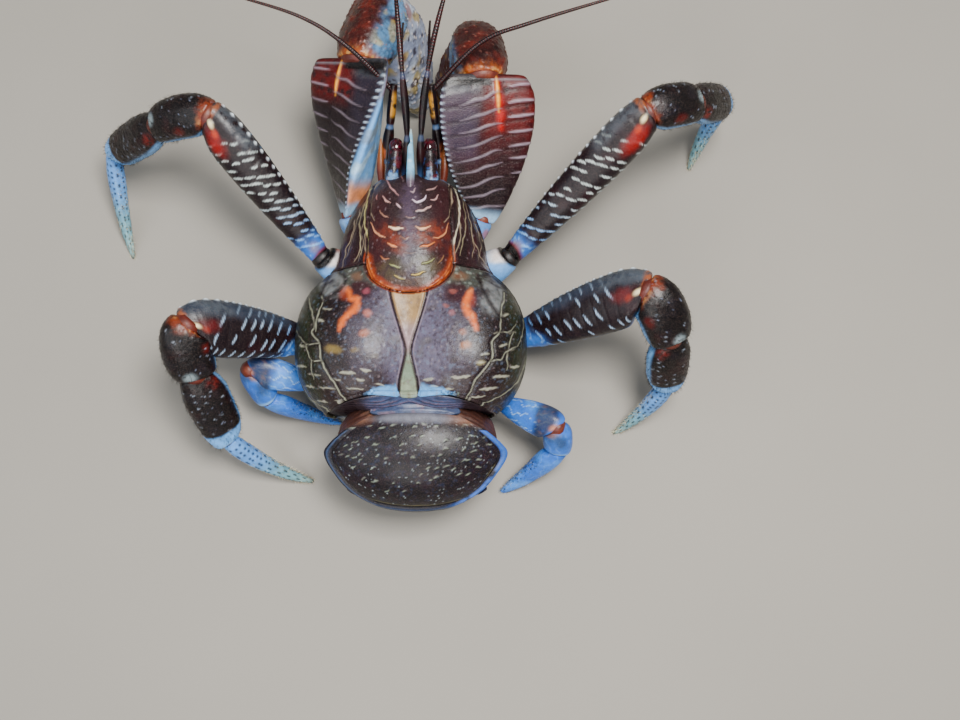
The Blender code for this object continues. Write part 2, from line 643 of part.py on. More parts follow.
def joint_faces(joints):
    """The way the face at each joint looks: between the directions of the articles it joins."""
    joints = [vec(j) for j in joints]
    ways = [unit(b - a) for a, b in zip(joints, joints[1:])]
    between = [unit(a + b) for a, b in zip(ways, ways[1:])]
    return ways, [ways[0], *between, ways[-1]]


def article(name, joints, index, facing, halves, form, side, material, **more):
    """One article of a limb between two joints, held off its neighbours by the gap."""
    ways, faces = joint_faces(joints)
    start = vec(joints[index]) + faces[index] * GAP / 2
    end = vec(joints[index + 1]) - faces[index + 1] * GAP / 2
    shape = {"first": faces[index], "last": faces[index + 1], **more}
    studs = shape.pop("studs", ())
    obj = loft(name, limb_rings(start, end, facing, halves, form, side, **shape), material)
    shape["sides"] = 36

    def ring_at(t):
        return limb_rings(start, end, facing, halves, form, side, at=[t], **shape)[0]

    add_studs(obj, studs, ring_at, ways[index])
    cut_plane(obj, start, -faces[index])
    if index + 2 < len(joints):
        cut_plane(obj, end, faces[index + 1])
    return obj


def facings_along(joints, crest):
    """The crest's way for each article, carried along the limb from the merus."""
    ways, _ = joint_faces(joints)
    merus = 1
    facings = {merus: unit(vec(crest) - ways[merus] * (vec(crest) @ ways[merus]))}
    facings[0] = facings[merus]
    for k in range(merus + 1, len(ways)):
        facings[k] = transported(facings[k - 1], ways[k - 1], ways[k])
    return facings


def make_walking_leg(name, joints, crest, halves, trunk):
    """The five articles of a walking leg, with its clawed tip flat on the floor."""
    side = LEFT if name.endswith("left") else RIGHT
    facing = facings_along(joints, crest)
    made = []
    basis = article(f"{name}_basis", joints, 0, facing[0], (BASIS_HALF, BASIS_HALF), BASIS_FORM, side, "blue_shell", sides=10, stations=5)
    made.append(clear_of(basis, [trunk["belly"], trunk[f"flank_{name[6:]}"], trunk[f"dome_{name[6:]}"]], 0.5))
    merus = article(f"{name}_merus", joints, 1, facing[1], halves[0], MERUS_FORM, side, "dark_shell", ridges=6, ridge=0.8, zone=0.3, studs=MERUS_STUDS)
    made.append(clear_of(merus, [trunk["belly"], trunk[f"dome_{name[6:]}"], trunk[f"flank_{name[6:]}"]]))
    carpus_bow = -CARPUS_SWELL * (unit(vec(joints[4]) - vec(joints[3])) - unit(vec(joints[2]) - vec(joints[1]))) * 0.7
    made.append(article(f"{name}_carpus", joints, 2, facing[2], halves[1], CARPUS_FORM, side, "dark_shell", bow=carpus_bow, stations=7))
    made.append(article(f"{name}_propodus", joints, 3, facing[3], halves[2], PROPODUS_FORM, side, "dark_shell", stations=7))
    tip = vec(joints[5]) + unit(vec(joints[5]) - vec(joints[4])) * 1.2
    reached = [*joints[:5], tuple(tip)]
    bow = facing[4] * DACTYL_BOW
    dactyl = article(f"{name}_dactyl", reached, 4, facing[4], halves[3], DACTYL_FORM, side, "pale_blue_shell", bow=bow, sides=8, stations=8, studs=DACTYL_STUDS)
    cut_plane(dactyl, (0, 0, 0), (0, 0, -1))
    made.append(dactyl)
    return made


def make_small_leg(name, joints, crest, trunk):
    """The merus, carpus and little hand of a fourth leg."""
    side = LEFT if name.endswith("left") else RIGHT
    facing = facings_along(joints, crest)
    dome = trunk[f"dome_{name[6:]}"]
    merus = article(f"{name}_merus", joints, 1, facing[1], SMALL_LEG_HALVES[0], MERUS_FORM, side, "blue_shell", stations=7)
    clear_of(merus, [trunk["belly"], dome])
    carpus = article(f"{name}_carpus", joints, 2, facing[2], SMALL_LEG_HALVES[1], CARPUS_FORM, side, "blue_shell", stations=6)
    tip = vec(joints[4]) + unit(vec(joints[4]) - vec(joints[3])) * 1.2
    reached = [*joints[:4], tuple(tip)]
    bow = facing[3] * 2.5
    hand = article(f"{name}_hand", reached, 3, facing[3], SMALL_LEG_HALVES[2], DACTYL_FORM, side, "pale_blue_shell", bow=bow, sides=10, stations=7)
    cut_plane(hand, (0, 0, 0), (0, 0, -1))
    return [merus, carpus, hand]


def hand_rings(wrist, tip, facing, outline, thickness, scale, sides, stations, side):
    """Rings of a flat, deep form seen from the side by its lower and upper edge."""
    wrist, tip = vec(wrist), vec(tip)
    along = unit(tip - wrist)
    up = unit(facing - along * (facing @ along))
    out = unit(np.cross(up, along)) * side
    angles = np.linspace(0, 2 * np.pi, sides, endpoint=False)
    radius = rounded_section(angles, OVAL, 2.5)
    rings = []
    for t in stations:
        low, high = through(outline, t) * scale
        half = float(through(thickness, t)[0]) * PALM_HALF_THICKNESS * scale
        centre = wrist + (tip - wrist) * t + up * (low + high) / 2
        rings.append(
            centre
            + (radius * np.cos(angles) * half)[:, None] * out
            + (radius * np.sin(angles) * (high - low) / 2)[:, None] * up
        )
    return rings


def make_claw(name, joints, crest, twist, finger_way, scale, trunk):
    """The basis, merus, carpus, palm and movable finger of a claw."""
    side = LEFT if name.endswith("left") else RIGHT
    facing = facings_along(joints, crest)
    flank = trunk[f"flank_{name[5:]}"]
    basis = article(f"{name}_basis", joints, 0, facing[0], (8.5 * scale, 8.5 * scale), BASIS_FORM, side, "blue_shell", sides=10, stations=5)
    clear_of(basis, [trunk["belly"], flank, trunk["shield"]])
    merus = article(
        f"{name}_merus", joints, 1, facing[1], vec(CLAW_MERUS_HALF) * (scale + 1) / 2, CLAW_MERUS_FORM, side, "red_shell",
        ridges=7, ridge=0.9, flats=WEDGED, sharpness=5, sides=14, zone=0.3, twist=-twist, studs=CLAW_MERUS_STUDS,
    )
    clear_of(merus, [flank, trunk["shield"]])
    carpus = article(
        f"{name}_carpus", joints, 2, facing[2], vec(CLAW_CARPUS_HALF) * scale, CARPUS_FORM, side, "red_shell", sides=14, stations=8
    )
    ways, faces = joint_faces(joints)
    wrist = vec(joints[3]) + faces[3] * GAP / 2
    tip = vec(joints[4])
    lowered = tip + unit(tip - wrist) * 1.5
    steps = [0, 0.06, 0.14, 0.24, 0.36, 0.48, 0.55, 0.585, 0.66, 0.75, 0.83, 0.91, 1]
    palm = loft(f"{name}_palm", hand_rings(wrist, lowered, vec(finger_way), PALM_OUTLINE, PALM_THICKNESS, scale, 12, steps, side), "red_shell")

    def palm_ring(t):
        return hand_rings(wrist, lowered, vec(finger_way), PALM_OUTLINE, PALM_THICKNESS, scale, 36, [t], side)[0]

    add_studs(palm, PALM_STUDS, palm_ring, ways[3])
    cut_plane(palm, wrist, -faces[3])
    cut_plane(palm, (0, 0, 0), (0, 0, -1))
    start = wrist + (lowered - wrist) * FINGER_START
    end = wrist + (lowered - wrist) * FINGER_END
    finger = loft(
        f"{name}_finger",
        hand_rings(start, end, vec(finger_way), FINGER_OUTLINE, FINGER_THICKNESS, scale, 10, np.linspace(0, 1, 8), side),
        "red_shell",
    )
    cut_plane(finger, (0, 0, GAP), (0, 0, -1))
    return [basis, merus, carpus, palm, finger]


def make_head(trunk):
    """Eyes on their stalks, antennae, antennules and mouth legs."""
    for side, (root, tip) in EYESTALKS.items():
        stalk = tapered_tube(f"eyestalk_{side}", (root, tip), EYESTALK_HALF, 0.86, 10, 5, "dark_shell")
        clear_of(stalk, [trunk["shield"]])
        way = unit(vec(tip) - vec(root))
        seat = vec(tip) - way * 5
        cut_plane(stalk, seat, way)
        eye_rings = []
        angles = np.linspace(0, 2 * np.pi, 12, endpoint=False)
        out = unit(np.cross((0, 0, 1), way))
        up = np.cross(way, out)
        for turn in np.linspace(-0.94, 0.94, 8) * np.pi / 2:
            ring = np.cos(angles)[:, None] * out * EYE_RADII[0] + np.sin(angles)[:, None] * up * EYE_RADII[2]
            eye_rings.append(seat + way * (math.sin(turn) * EYE_RADII[1]) + ring * math.cos(turn))
        eye = loft(f"eye_{side}", eye_rings, "eye")
        cut_plane(eye, seat + way * GAP, -way)
    for side, (stalk, whip) in ANTENNAE.items():
        sign = SIDES[side]
        root = tapered_tube(f"antenna_{side}", stalk, (ANTENNA_HALF, ANTENNA_HALF), 0.75, 8, 7, "feeler")
        start = vec(stalk[-1]) - unit(vec(stalk[-1]) - vec(stalk[-2])) * 3
        lash = tapered_tube("whip", (start, *whip), (WHIP_RADII[0], WHIP_RADII[0]), WHIP_RADII[1] / WHIP_RADII[0], 6, 17, "feeler")
        scale_tip = vec(stalk[1]) + (sign * 2.4, -7, 5)
        blade = tapered_tube("blade", (vec(stalk[0]) + (0, -3, 1), scale_tip), (1.5, 2.0), 0.15, 6, 3, "feeler")
        boolean(root, "UNION", [lash, blade])
        near = [bpy.data.objects[name] for name in (f"eyestalk_{side}", f"claw_{side}_merus")]
        clear_of(root, [trunk["shield"], trunk[f"flank_{side}"], *near])
    for side, line in ANTENNULES.items():
        feeler = tapered_tube(f"antennule_{side}", line, (ANTENNULE_RADII[0], ANTENNULE_RADII[0]), 0.35, 6, 12, "feeler")
        fork = vec(line[-3])
        branch = tapered_tube("branch", (fork, fork + (0, -14, -1), fork + (0, -24, -7)), (0.8, 0.8), 0.6, 6, 6, "feeler")
        boolean(feeler, "UNION", [branch])
        clear_of(feeler, [trunk["shield"], bpy.data.objects[f"eyestalk_{side}"], bpy.data.objects[f"eye_{side}"]])
    for side, line in MOUTH_LEGS.items():
        leg = tapered_tube(f"mouth_leg_{side}", line, MOUTH_LEG_HALF, 0.4, 8, 7, "blue_shell")
        clear_of(leg, [trunk["belly"], trunk["shield"], trunk[f"flank_{side}"]])


clear_scene()
crab_pieces = bpy.data.collections.new("coconut_crab")
bpy.context.scene.collection.children.link(crab_pieces)

trunk = make_trunk()
make_sac(trunk)
for plate, sizes in PLATES.items():
    make_plate(plate, *sizes, trunk)
for leg, (joints, crest, halves) in WALKING_LEGS.items():
    make_walking_leg(leg, joints, crest, halves, trunk)
for leg, (joints, crest) in SMALL_LEGS.items():
    make_small_leg(leg, joints, crest, trunk)
for claw, (joints, crest, twist, finger_way, scale) in CLAWS.items():
    make_claw(claw, joints, crest, twist, finger_way, scale, trunk)
make_head(trunk)
add_shell_ridges(trunk)
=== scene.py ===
"""The looks of the coconut crab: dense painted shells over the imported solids, floor, soft light and camera.

Lengths are in millimetres of the crab's own frame, as in the part's source, and become metres when a mesh is
made. The crab faces -Y, its left side is at +X and the floor is z = 0.
"""

import math
from types import SimpleNamespace

import bpy
import numpy as np
from mathutils import Matrix, Vector


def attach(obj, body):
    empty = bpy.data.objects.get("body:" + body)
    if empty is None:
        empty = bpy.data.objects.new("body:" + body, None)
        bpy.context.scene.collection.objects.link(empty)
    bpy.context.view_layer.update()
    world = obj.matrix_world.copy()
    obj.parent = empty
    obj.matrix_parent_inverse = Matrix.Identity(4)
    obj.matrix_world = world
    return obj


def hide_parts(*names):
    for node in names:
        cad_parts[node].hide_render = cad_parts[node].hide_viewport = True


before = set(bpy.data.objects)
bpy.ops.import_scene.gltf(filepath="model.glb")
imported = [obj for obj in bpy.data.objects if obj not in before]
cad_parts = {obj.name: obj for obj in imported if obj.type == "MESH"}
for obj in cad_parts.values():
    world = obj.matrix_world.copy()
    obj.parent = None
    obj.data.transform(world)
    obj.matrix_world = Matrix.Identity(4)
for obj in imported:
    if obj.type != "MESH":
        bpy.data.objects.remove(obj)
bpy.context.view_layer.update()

MM = 0.001
STAND = np.array((0.2, 53.0, 0.0))
LEFT, RIGHT = 1, -1
SIDES = {"left": LEFT, "right": RIGHT}

# Camera of the photograph: place, elevation of the view from behind, and focal length in its pixels.
CAMERA_PLACE = np.array((-31.95, 118.87, 591.80))
CAMERA_TILT = math.radians(78)
FOCAL = 1200.0
IMAGE = (960, 720)
VIEW_RIGHT = np.array((-1.0, 0.0, 0.0))
VIEW_AHEAD = np.array((0.0, -math.cos(CAMERA_TILT), -math.sin(CAMERA_TILT)))
VIEW_UP = np.array((0.0, -math.sin(CAMERA_TILT), math.cos(CAMERA_TILT)))


# The paint is given as it looks in the photograph; the shells carry it deeper, as their gloss adds light.
DEEPER = 1.32


def vec(point):
    """A point or direction as an array."""
    return np.array(point, float)


def unit(vector):
    """The vector, or each row of them, with length 1."""
    vector = np.asarray(vector, float)
    return vector / np.maximum(np.linalg.norm(vector, axis=-1, keepdims=True), 1e-12)


def through(rows, t):
    """Smooth values at t through rows of (station, value, ...)."""
    rows = np.array(rows, float)
    t = np.asarray(t, float)
    at, values = rows[:, 0], rows[:, 1:]
    slopes = np.gradient(values, at, axis=0)
    i = np.clip(np.searchsorted(at, t, side="right") - 1, 0, len(at) - 2)
    span = (at[i + 1] - at[i])[..., None]
    s = np.clip((t - at[i])[..., None] / span, 0, 1)
    start = (2 * s**3 - 3 * s**2 + 1) * values[i] + (s**3 - 2 * s**2 + s) * span * slopes[i]
    end = (3 * s**2 - 2 * s**3) * values[i + 1] + (s**3 - s**2) * span * slopes[i + 1]
    return start + end


def rounded_section(angles, flats, sharpness):
    """The radius, at each angle, of a rounded polygon with these sides."""
    total = sum(
        (np.maximum(np.cos(angles - math.radians(way)), 0) / distance) ** sharpness for way, distance in flats
    )
    return total ** (-1 / sharpness)


def smooth(low, high, value):
    """0 below low, 1 above high and smooth between; low may be the larger."""
    share = np.clip((np.asarray(value, float) - low) / (high - low), 0, 1)
    return share * share * (3 - 2 * share)


def ink(code):
    """A colour written as a web code, as linear values."""
    parts = np.array([int(code[k : k + 2], 16) for k in (1, 3, 5)]) / 255
    return np.where(parts <= 0.04045, parts / 12.92, ((parts + 0.055) / 1.055) ** 2.4)


def washed(base, code, share):
    """The colours with another laid over them by a share, 0 to 1."""
    share = np.clip(share, 0, 1)[..., None]
    return base * (1 - share) + ink(code) * share


def overlaid(base, *layers):
    """The colours with others laid over them in turn: (code, share)."""
    for code, share in layers:
        base = washed(base, code, share)
    return base


def plain(code, count):
    """One colour for this many points."""
    return np.repeat(ink(code)[None], count, 0)


def lattice(cells, seed):
    """A repeatable value from 0 to 1 for each cell of a lattice."""
    mixed = cells.astype(np.int64) @ np.array((73856093, 19349663, 83492791)) + seed * 26544357
    mixed = ((mixed ^ (mixed >> 13)) * 1274126177) & 0xFFFFFFFF
    mixed = ((mixed ^ (mixed >> 16)) * 2246822519) & 0xFFFFFFFF
    return ((mixed ^ (mixed >> 15)) & 0xFFFFFF) / 0xFFFFFF


def noise(points, size, seed=0, octaves=1):
    """Smooth values from about -1 to 1 that change over this size."""
    result, weight, whole = 0.0, 1.0, 0.0
    for octave in range(octaves):
        place = np.asarray(points) / (size / 2**octave)
        cell = np.floor(place)
        part = place - cell
        part = part * part * (3 - 2 * part)
        total = 0.0
        for corner in range(8):
            step = np.array([(corner >> k) & 1 for k in range(3)])
            total = total + np.where(step, part, 1 - part).prod(-1) * lattice(cell + step, seed + octave)
        result = result + weight * (total * 2 - 1)
        whole += weight
        weight *= 0.5
    return result / whole


def pebbles(points, size, seed=0):
    """How near each point is to the closest scattered centre, from 0 to 1, and that centre's value."""
    place = np.asarray(points) / size
    cell = np.floor(place)
    best, value = np.full(place.shape[:-1], 9.0), np.zeros(place.shape[:-1])
    for corner in np.ndindex(3, 3, 3):
        there = cell + np.array(corner) - 1
        centre = there + np.stack([lattice(there, seed + k) for k in range(3)], -1)
        away = ((place - centre) ** 2).sum(-1)
        closer = away < best
        best = np.where(closer, away, best)
        value = np.where(closer, lattice(there, seed + 7), value)
    return np.clip(1 - np.sqrt(best), 0, 1), value


def seen_at(points):
    """Where each point shows in the photograph, in its pixels."""
    away = points - CAMERA_PLACE
    depth = away @ VIEW_AHEAD
    across = IMAGE[0] / 2 + FOCAL * (away @ VIEW_RIGHT) / depth
    down = IMAGE[1] / 2 - FOCAL * (away @ VIEW_UP) / depth
    return np.stack([across, down], -1)


def near_line(places, line):
    """Distance from each place to a line through points, and how far along it, 0 to 1."""
    line = np.asarray(line, float)
    lengths = np.linalg.norm(np.diff(line, axis=0), axis=1)
    before = np.concatenate([[0], np.cumsum(lengths)])
    best, along = np.full(len(places), 1e9), np.zeros(len(places))
    for k, (a, b) in enumerate(zip(line, line[1:])):
        t = np.clip((places - a) @ (b - a) / max(lengths[k] ** 2, 1e-9), 0, 1)
        away = np.linalg.norm(places - a - t[:, None] * (b - a), axis=1)
        closer = away < best
        best = np.where(closer, away, best)
        along = np.where(closer, (before[k] + t * lengths[k]) / before[-1], along)
    return best, along


def curve_through(line, count=24):
    """More points on a smooth curve through these."""
    line = np.asarray(line, float)
    if len(line) < 3:
        return line
    rows = np.column_stack([np.linspace(0, 1, len(line)), line])
    return through(rows, np.linspace(0, 1, count))


def stroke(places, line, width, soft, taper=0.5):
    """A mask from 0 to 1 over a smooth line of this width, thinner at its ends by the taper."""
    line = curve_through(line, max(8, 5 * len(line)))
    reach = width + soft
    near = ((places > line.min(0) - reach) & (places < line.max(0) + reach)).all(-1)
    mask = np.zeros(places.shape[:-1])
    if near.any():
        away, along = near_line(places[near], line)
        half = width / 2 * (1 - taper * (2 * along - 1) ** 2)
        mask[near] = smooth(half + soft / 2, half - soft / 2, away)
    return mask


def spot(places, centre, radii, soft=0.4, turn=0.0):
    """A mask from 0 to 1 over an oval patch."""
    away = places - vec(centre)
    c, s = math.cos(math.radians(turn)), math.sin(math.radians(turn))
    across = (away[..., 0] * c + away[..., 1] * s) / radii[0]
    down = (away[..., 1] * c - away[..., 0] * s) / radii[1]
    return smooth(1 + soft, 1 - soft, np.hypot(across, down))


def grid_normals(rings):
    """The outward way at each point of a grid of rings."""
    around = np.roll(rings, -1, axis=1) - np.roll(rings, 1, axis=1)
    return unit(np.cross(np.gradient(rings, axis=0), around))


def grid_faces(count, sides):
    """The four corners of each face of a grid of closed rings."""
    rows = np.arange(count - 1)[:, None] * sides
    columns = np.arange(sides)
    after = (columns + 1) % sides
    return np.stack(
        [rows + columns, rows + after, rows + sides + after, rows + sides + columns], -1
    ).reshape(-1, 4)


def build(name, points, faces, material, colour=None, rough=None):
    """An object from points in millimetres, faces of three or four corners, and each point's paint."""
    mesh = bpy.data.meshes.new(name)
    faces = [
        np.asarray(group, np.int32) for group in (faces if isinstance(faces, list) else [faces]) if len(group)
    ]
    corners = np.concatenate([group.reshape(-1) for group in faces])
    sizes = np.concatenate([np.full(len(group), group.shape[1]) for group in faces])
    mesh.vertices.add(len(points))
    mesh.vertices.foreach_set("co", ((points + STAND) * MM).astype(np.float32).reshape(-1))
    mesh.loops.add(len(corners))
    mesh.loops.foreach_set("vertex_index", corners)
    mesh.polygons.add(len(sizes))
    mesh.polygons.foreach_set("loop_start", np.concatenate([[0], np.cumsum(sizes)[:-1]]).astype(np.int32))
    mesh.polygons.foreach_set("use_smooth", np.ones(len(sizes), bool))
    if colour is not None:
        paint = mesh.attributes.new("paint", "FLOAT_COLOR", "POINT")
        shades = np.ones((len(points), 4), np.float32)
        shades[:, :3] = np.clip(colour, 0.001, 1) ** DEEPER
        paint.data.foreach_set("color", shades.reshape(-1))
    if rough is not None:
        gloss = mesh.attributes.new("dull", "FLOAT", "POINT")
        gloss.data.foreach_set("value", np.clip(rough, 0, 1).astype(np.float32))
    mesh.update(calc_edges=True)
    mesh.materials.append(material)
    obj = bpy.data.objects.new(name, mesh)
    bpy.context.scene.collection.objects.link(obj)
    return obj


def placed(obj, *nodes, slot=None):
    """The piece rides on the one body and stands for these nodes."""
    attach(obj, "root")
    if nodes:
        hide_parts(*nodes)
    return obj


def capped(rings, colour, rough):
    """A closed skin over rings, its ends drawn to a point: points, faces, paint. rough may be a number."""
    count, sides = rings.shape[:2]
    rough = np.full((count, sides), rough)
    points = [rings.reshape(-1, 3)]
    faces = [grid_faces(count, sides)]
    colours, roughs = [colour.reshape(-1, 3)], [rough.reshape(-1)]
    total = count * sides
    ends = []
    for ring, turned in ((0, True), (count - 1, False)):
        middle = rings[ring].mean(0)
        points.append(middle[None])
        colours.append(colour[ring].mean(0)[None])
        roughs.append(rough[ring].mean()[None])
        edge = ring * sides + np.arange(sides)
        after = np.roll(edge, -1)
        tip = np.full(sides, total)
        total += 1
        ends.append(np.stack([after, edge, tip] if turned else [edge, after, tip], -1))
    return np.concatenate(points), faces + [
        np.concatenate(ends)
    ], np.concatenate(colours), np.concatenate(roughs)


# The scale of the broad mottling, the share of fine noise in the roughness, and the bump's depth in metres.
MOTTLE_SCALE = 260.0
WEAR = 0.35
RELIEF_HEIGHT = 0.00035


def socket(tree, node, name, value):
    """Sets an input, or links it where the value is another node's output."""
    if isinstance(value, bpy.types.NodeSocket):
        tree.links.new(value, node.inputs[name])
    else:
        node.inputs[name].default_value = value


def add_node(tree, kind, inputs=(), **settings):
    """A node with these settings and inputs."""
    node = tree.nodes.new(kind)
    for name, value in settings.items():
        setattr(node, name, value)
    for name, value in inputs:
        socket(tree, node, name, value)
    return node


def sums(tree, operation, *values, **settings):
    """The outcome of a sum with these values."""
    return add_node(
        tree, "ShaderNodeMath", enumerate(values), operation=operation, **settings
    ).outputs["Value"]


def spread(tree, value, start, end, low, high):
    """A value's range from start to end, spread from low to high."""
    limits = (("Value", value), ("From Min", start), ("From Max", end), ("To Min", low), ("To Max", high))
    return add_node(tree, "ShaderNodeMapRange", limits).outputs["Result"]


def clouds(tree, place, scale, detail, roughness):
    """Procedural noise at a place."""
    inputs = (("Vector", place), ("Scale", scale), ("Detail", detail), ("Roughness", roughness))
    return add_node(tree, "ShaderNodeTexNoise", inputs).outputs["Fac"]


def painted_material(
    name, grain=0.5, bump=0.25, pits=0.0, coat=0.25, coat_rough=0.2, mottle=0.12, tint="#8a6f63", specular=0.5
):
    """A shell or skin that takes its paint from the mesh and adds grain, pits and mottling of its own."""
    material = bpy.data.materials.new(name)
    material.use_nodes = True
    tree = material.node_tree
    shader = tree.nodes["Principled BSDF"]
    place = add_node(tree, "ShaderNodeTexCoord").outputs["Object"]
    paint = add_node(tree, "ShaderNodeAttribute", attribute_name="paint").outputs["Color"]
    dull = add_node(tree, "ShaderNodeAttribute", attribute_name="dull").outputs["Fac"]
    fine = clouds(tree, place, 1 / MM / grain, 4.0, 0.6)
    broad = clouds(tree, place, MOTTLE_SCALE, 5.0, 0.65)
    shade = spread(tree, broad, 0.3, 0.7, 1 - mottle * 2, 1 + mottle * 2)
    darker = add_node(tree, "ShaderNodeVectorMath", ((0, paint), (1, shade)), operation="MULTIPLY")
    patches = spread(tree, fine, 0.5, 0.75, 0.0, mottle * 1.4)
    colour = add_node(tree, "ShaderNodeMix", (("Factor", patches),), data_type="RGBA")
    socket(tree, colour, 6, darker.outputs["Vector"])
    socket(tree, colour, 7, (*ink(tint), 1))
    tree.links.new(colour.outputs[2], shader.inputs["Base Color"])
    worn = sums(tree, "SUBTRACT", fine, 0.5)
    worn = sums(tree, "MULTIPLY_ADD", worn, WEAR, dull, use_clamp=True)
    tree.links.new(worn, shader.inputs["Roughness"])
    height = fine
    if pits:
        cells = add_node(tree, "ShaderNodeTexVoronoi", (("Vector", place), ("Scale", 1 / MM / pits)))
        height = sums(tree, "ADD", height, spread(tree, cells.outputs["Distance"], 0.0, 0.35, 0.0, 1.0))
    relief = add_node(
        tree, "ShaderNodeBump", (("Strength", bump), ("Distance", RELIEF_HEIGHT), ("Height", height))
    )
    tree.links.new(relief.outputs["Normal"], shader.inputs["Normal"])
    shader.inputs["Coat Weight"].default_value = coat
    shader.inputs["Coat Roughness"].default_value = coat_rough
    shader.inputs["Specular IOR Level"].default_value = specular
    material.diffuse_color = (*ink(tint), 1)
    return material


SHELL = painted_material(
    "carapace_shell", grain=0.55, bump=0.34, pits=0.9, coat=0.16, coat_rough=0.24, specular=0.22
)
LIMB = painted_material(
    "limb_shell", grain=0.5, bump=0.38, pits=0.8, coat=0.16, coat_rough=0.24, specular=0.22
)
CLAW = painted_material(
    "claw_shell", grain=0.6, bump=0.4, pits=1.1, coat=0.14, coat_rough=0.22, specular=0.22
)
SKIN = painted_material(
    "soft_skin", grain=0.8, bump=0.55, coat=0.12, coat_rough=0.35, mottle=0.2, tint="#6b3a2c"
)
FEELER = painted_material(
    "feeler_shell", grain=0.4, bump=0.25, coat=0.14, coat_rough=0.2, tint="#2a0d0c", specular=0.25
)
EYE = painted_material(
    "eye_glaze", grain=0.25, bump=0.1, coat=1.0, coat_rough=0.04, mottle=0.05, tint="#3a0a18"
)
BRISTLE = painted_material(
    "bristle", grain=0.3, bump=0.1, coat=0.0, mottle=0.2, tint="#3a2a20", specular=0.15
)


# Lobes whose smooth union is the trunk: centre, radii and squareness. Paired ones are mirrored.
SHIELD_LOBE = ((0, -49, 50), (20.3, 31.5, 27.5), 2.7)
FLANK_LOBE = ((0, -44, 43), (33.5, 38, 25), 2.2)
DOME_LOBE = ((23.5, -3, 48), (30, 35, 28.5), 2.25)
BELLY_LOBE = ((0, -22, 32), (27, 50, 13), 2.2)
HEAD_LOBE = ((0, -64, 44), (17, 16, 22), 2.5)
LOBE_BLEND = 4.0
TRUNK_AXIS_HEIGHT = 46.0
TRUNK_FRONT, TRUNK_REAR = -80.3, 28.5
TRUNK_REACH = 75.0
BELLY_TOP = 37.0
DOME_FRONT = -37.0
SHIELD_HALF_WIDTH, SHIELD_FRONT_HALF_WIDTH = 20.2, 15.5
SHIELD_FRONT = -82
SHIELD_ARC_CENTRE, SHIELD_ARC_LENGTH = -37.0, 14.8
REAR_NOTCH = ((0, 23.4), (14, 24.2), (26, 26.6), (36, 29))
REAR_WARP_START = 12.0
RIM_ROLL = 1.1
RING_COUNT, TOP_COLUMNS, UNDER_COLUMNS = 290, 430, 110
PROBES = 500
COARSE_ROWS, COARSE_COLUMNS = 60, 72
# Angles from straight up at which the belly's part of a ring starts.
UNDER_ANGLE = math.radians(106)
SHELL_THICKNESS = 1.2


def lobe_depth(points, centre, radii, squareness):
    """How far outside a lobe each point is, in millimetres, below 0 inside."""
    share = (np.abs((points - vec(centre)) / vec(radii)) ** squareness).sum(-1) ** (1 / squareness)
    return (share - 1) * min(radii)


def trunk_depth(points):
    """How far outside the trunk each point is: the smooth union of its lobes."""
    mirrored = points * vec((-1, 1, 1))
    total = sum(
        np.exp(-lobe_depth(where, *lobe) / LOBE_BLEND)
        for where, lobe in (
            (points, SHIELD_LOBE),
            (points, FLANK_LOBE),
            (points, DOME_LOBE),
            (mirrored, DOME_LOBE),
            (points, BELLY_LOBE),
            (points, HEAD_LOBE),
        )
    )
    return -LOBE_BLEND * np.log(total)


def trunk_points(y, angles, guess=None):
    """Points of the trunk's skin in the planes at y, looking out from its axis at these angles."""
    ways = np.stack([np.sin(angles), np.zeros_like(angles), np.cos(angles)], -1)
    axis = np.stack([np.zeros_like(y), y, np.full_like(y, TRUNK_AXIS_HEIGHT)], -1)
    if guess is None:
        reach = np.linspace(0, TRUNK_REACH, 90)
        inside = trunk_depth(axis[..., None, :] + ways[..., None, :] * reach[:, None]) < 0
        last = inside.shape[-1] - 1 - inside[..., ::-1].argmax(-1)
        near = np.where(inside.any(-1), reach[last], 0.2)
        far = near + reach[1]
        rounds = 14
    else:
        near, far, rounds = np.maximum(guess - 5, 0.2), guess + 5, 13
    for _ in range(rounds):
        middle = (near + far) / 2
        out = trunk_depth(axis + ways * middle[..., None]) > 0
        near, far = np.where(out, near, middle), np.where(out, middle, far)
    return axis + ways * near[..., None], near


def finer(coarse, rows, columns):
    """A coarse grid of values, its columns closed in a ring, filled in at finer rows and columns."""
    upper = np.floor(rows).astype(int).clip(0, len(coarse) - 2)
    share = (rows - upper)[:, None]
    left = np.floor(columns).astype(int) % coarse.shape[1]
    right = (left + 1) % coarse.shape[1]
    part = columns - np.floor(columns)
    here = coarse[upper] * (1 - share) + coarse[upper + 1] * share
    return here[:, left] * (1 - part) + here[:, right] * part


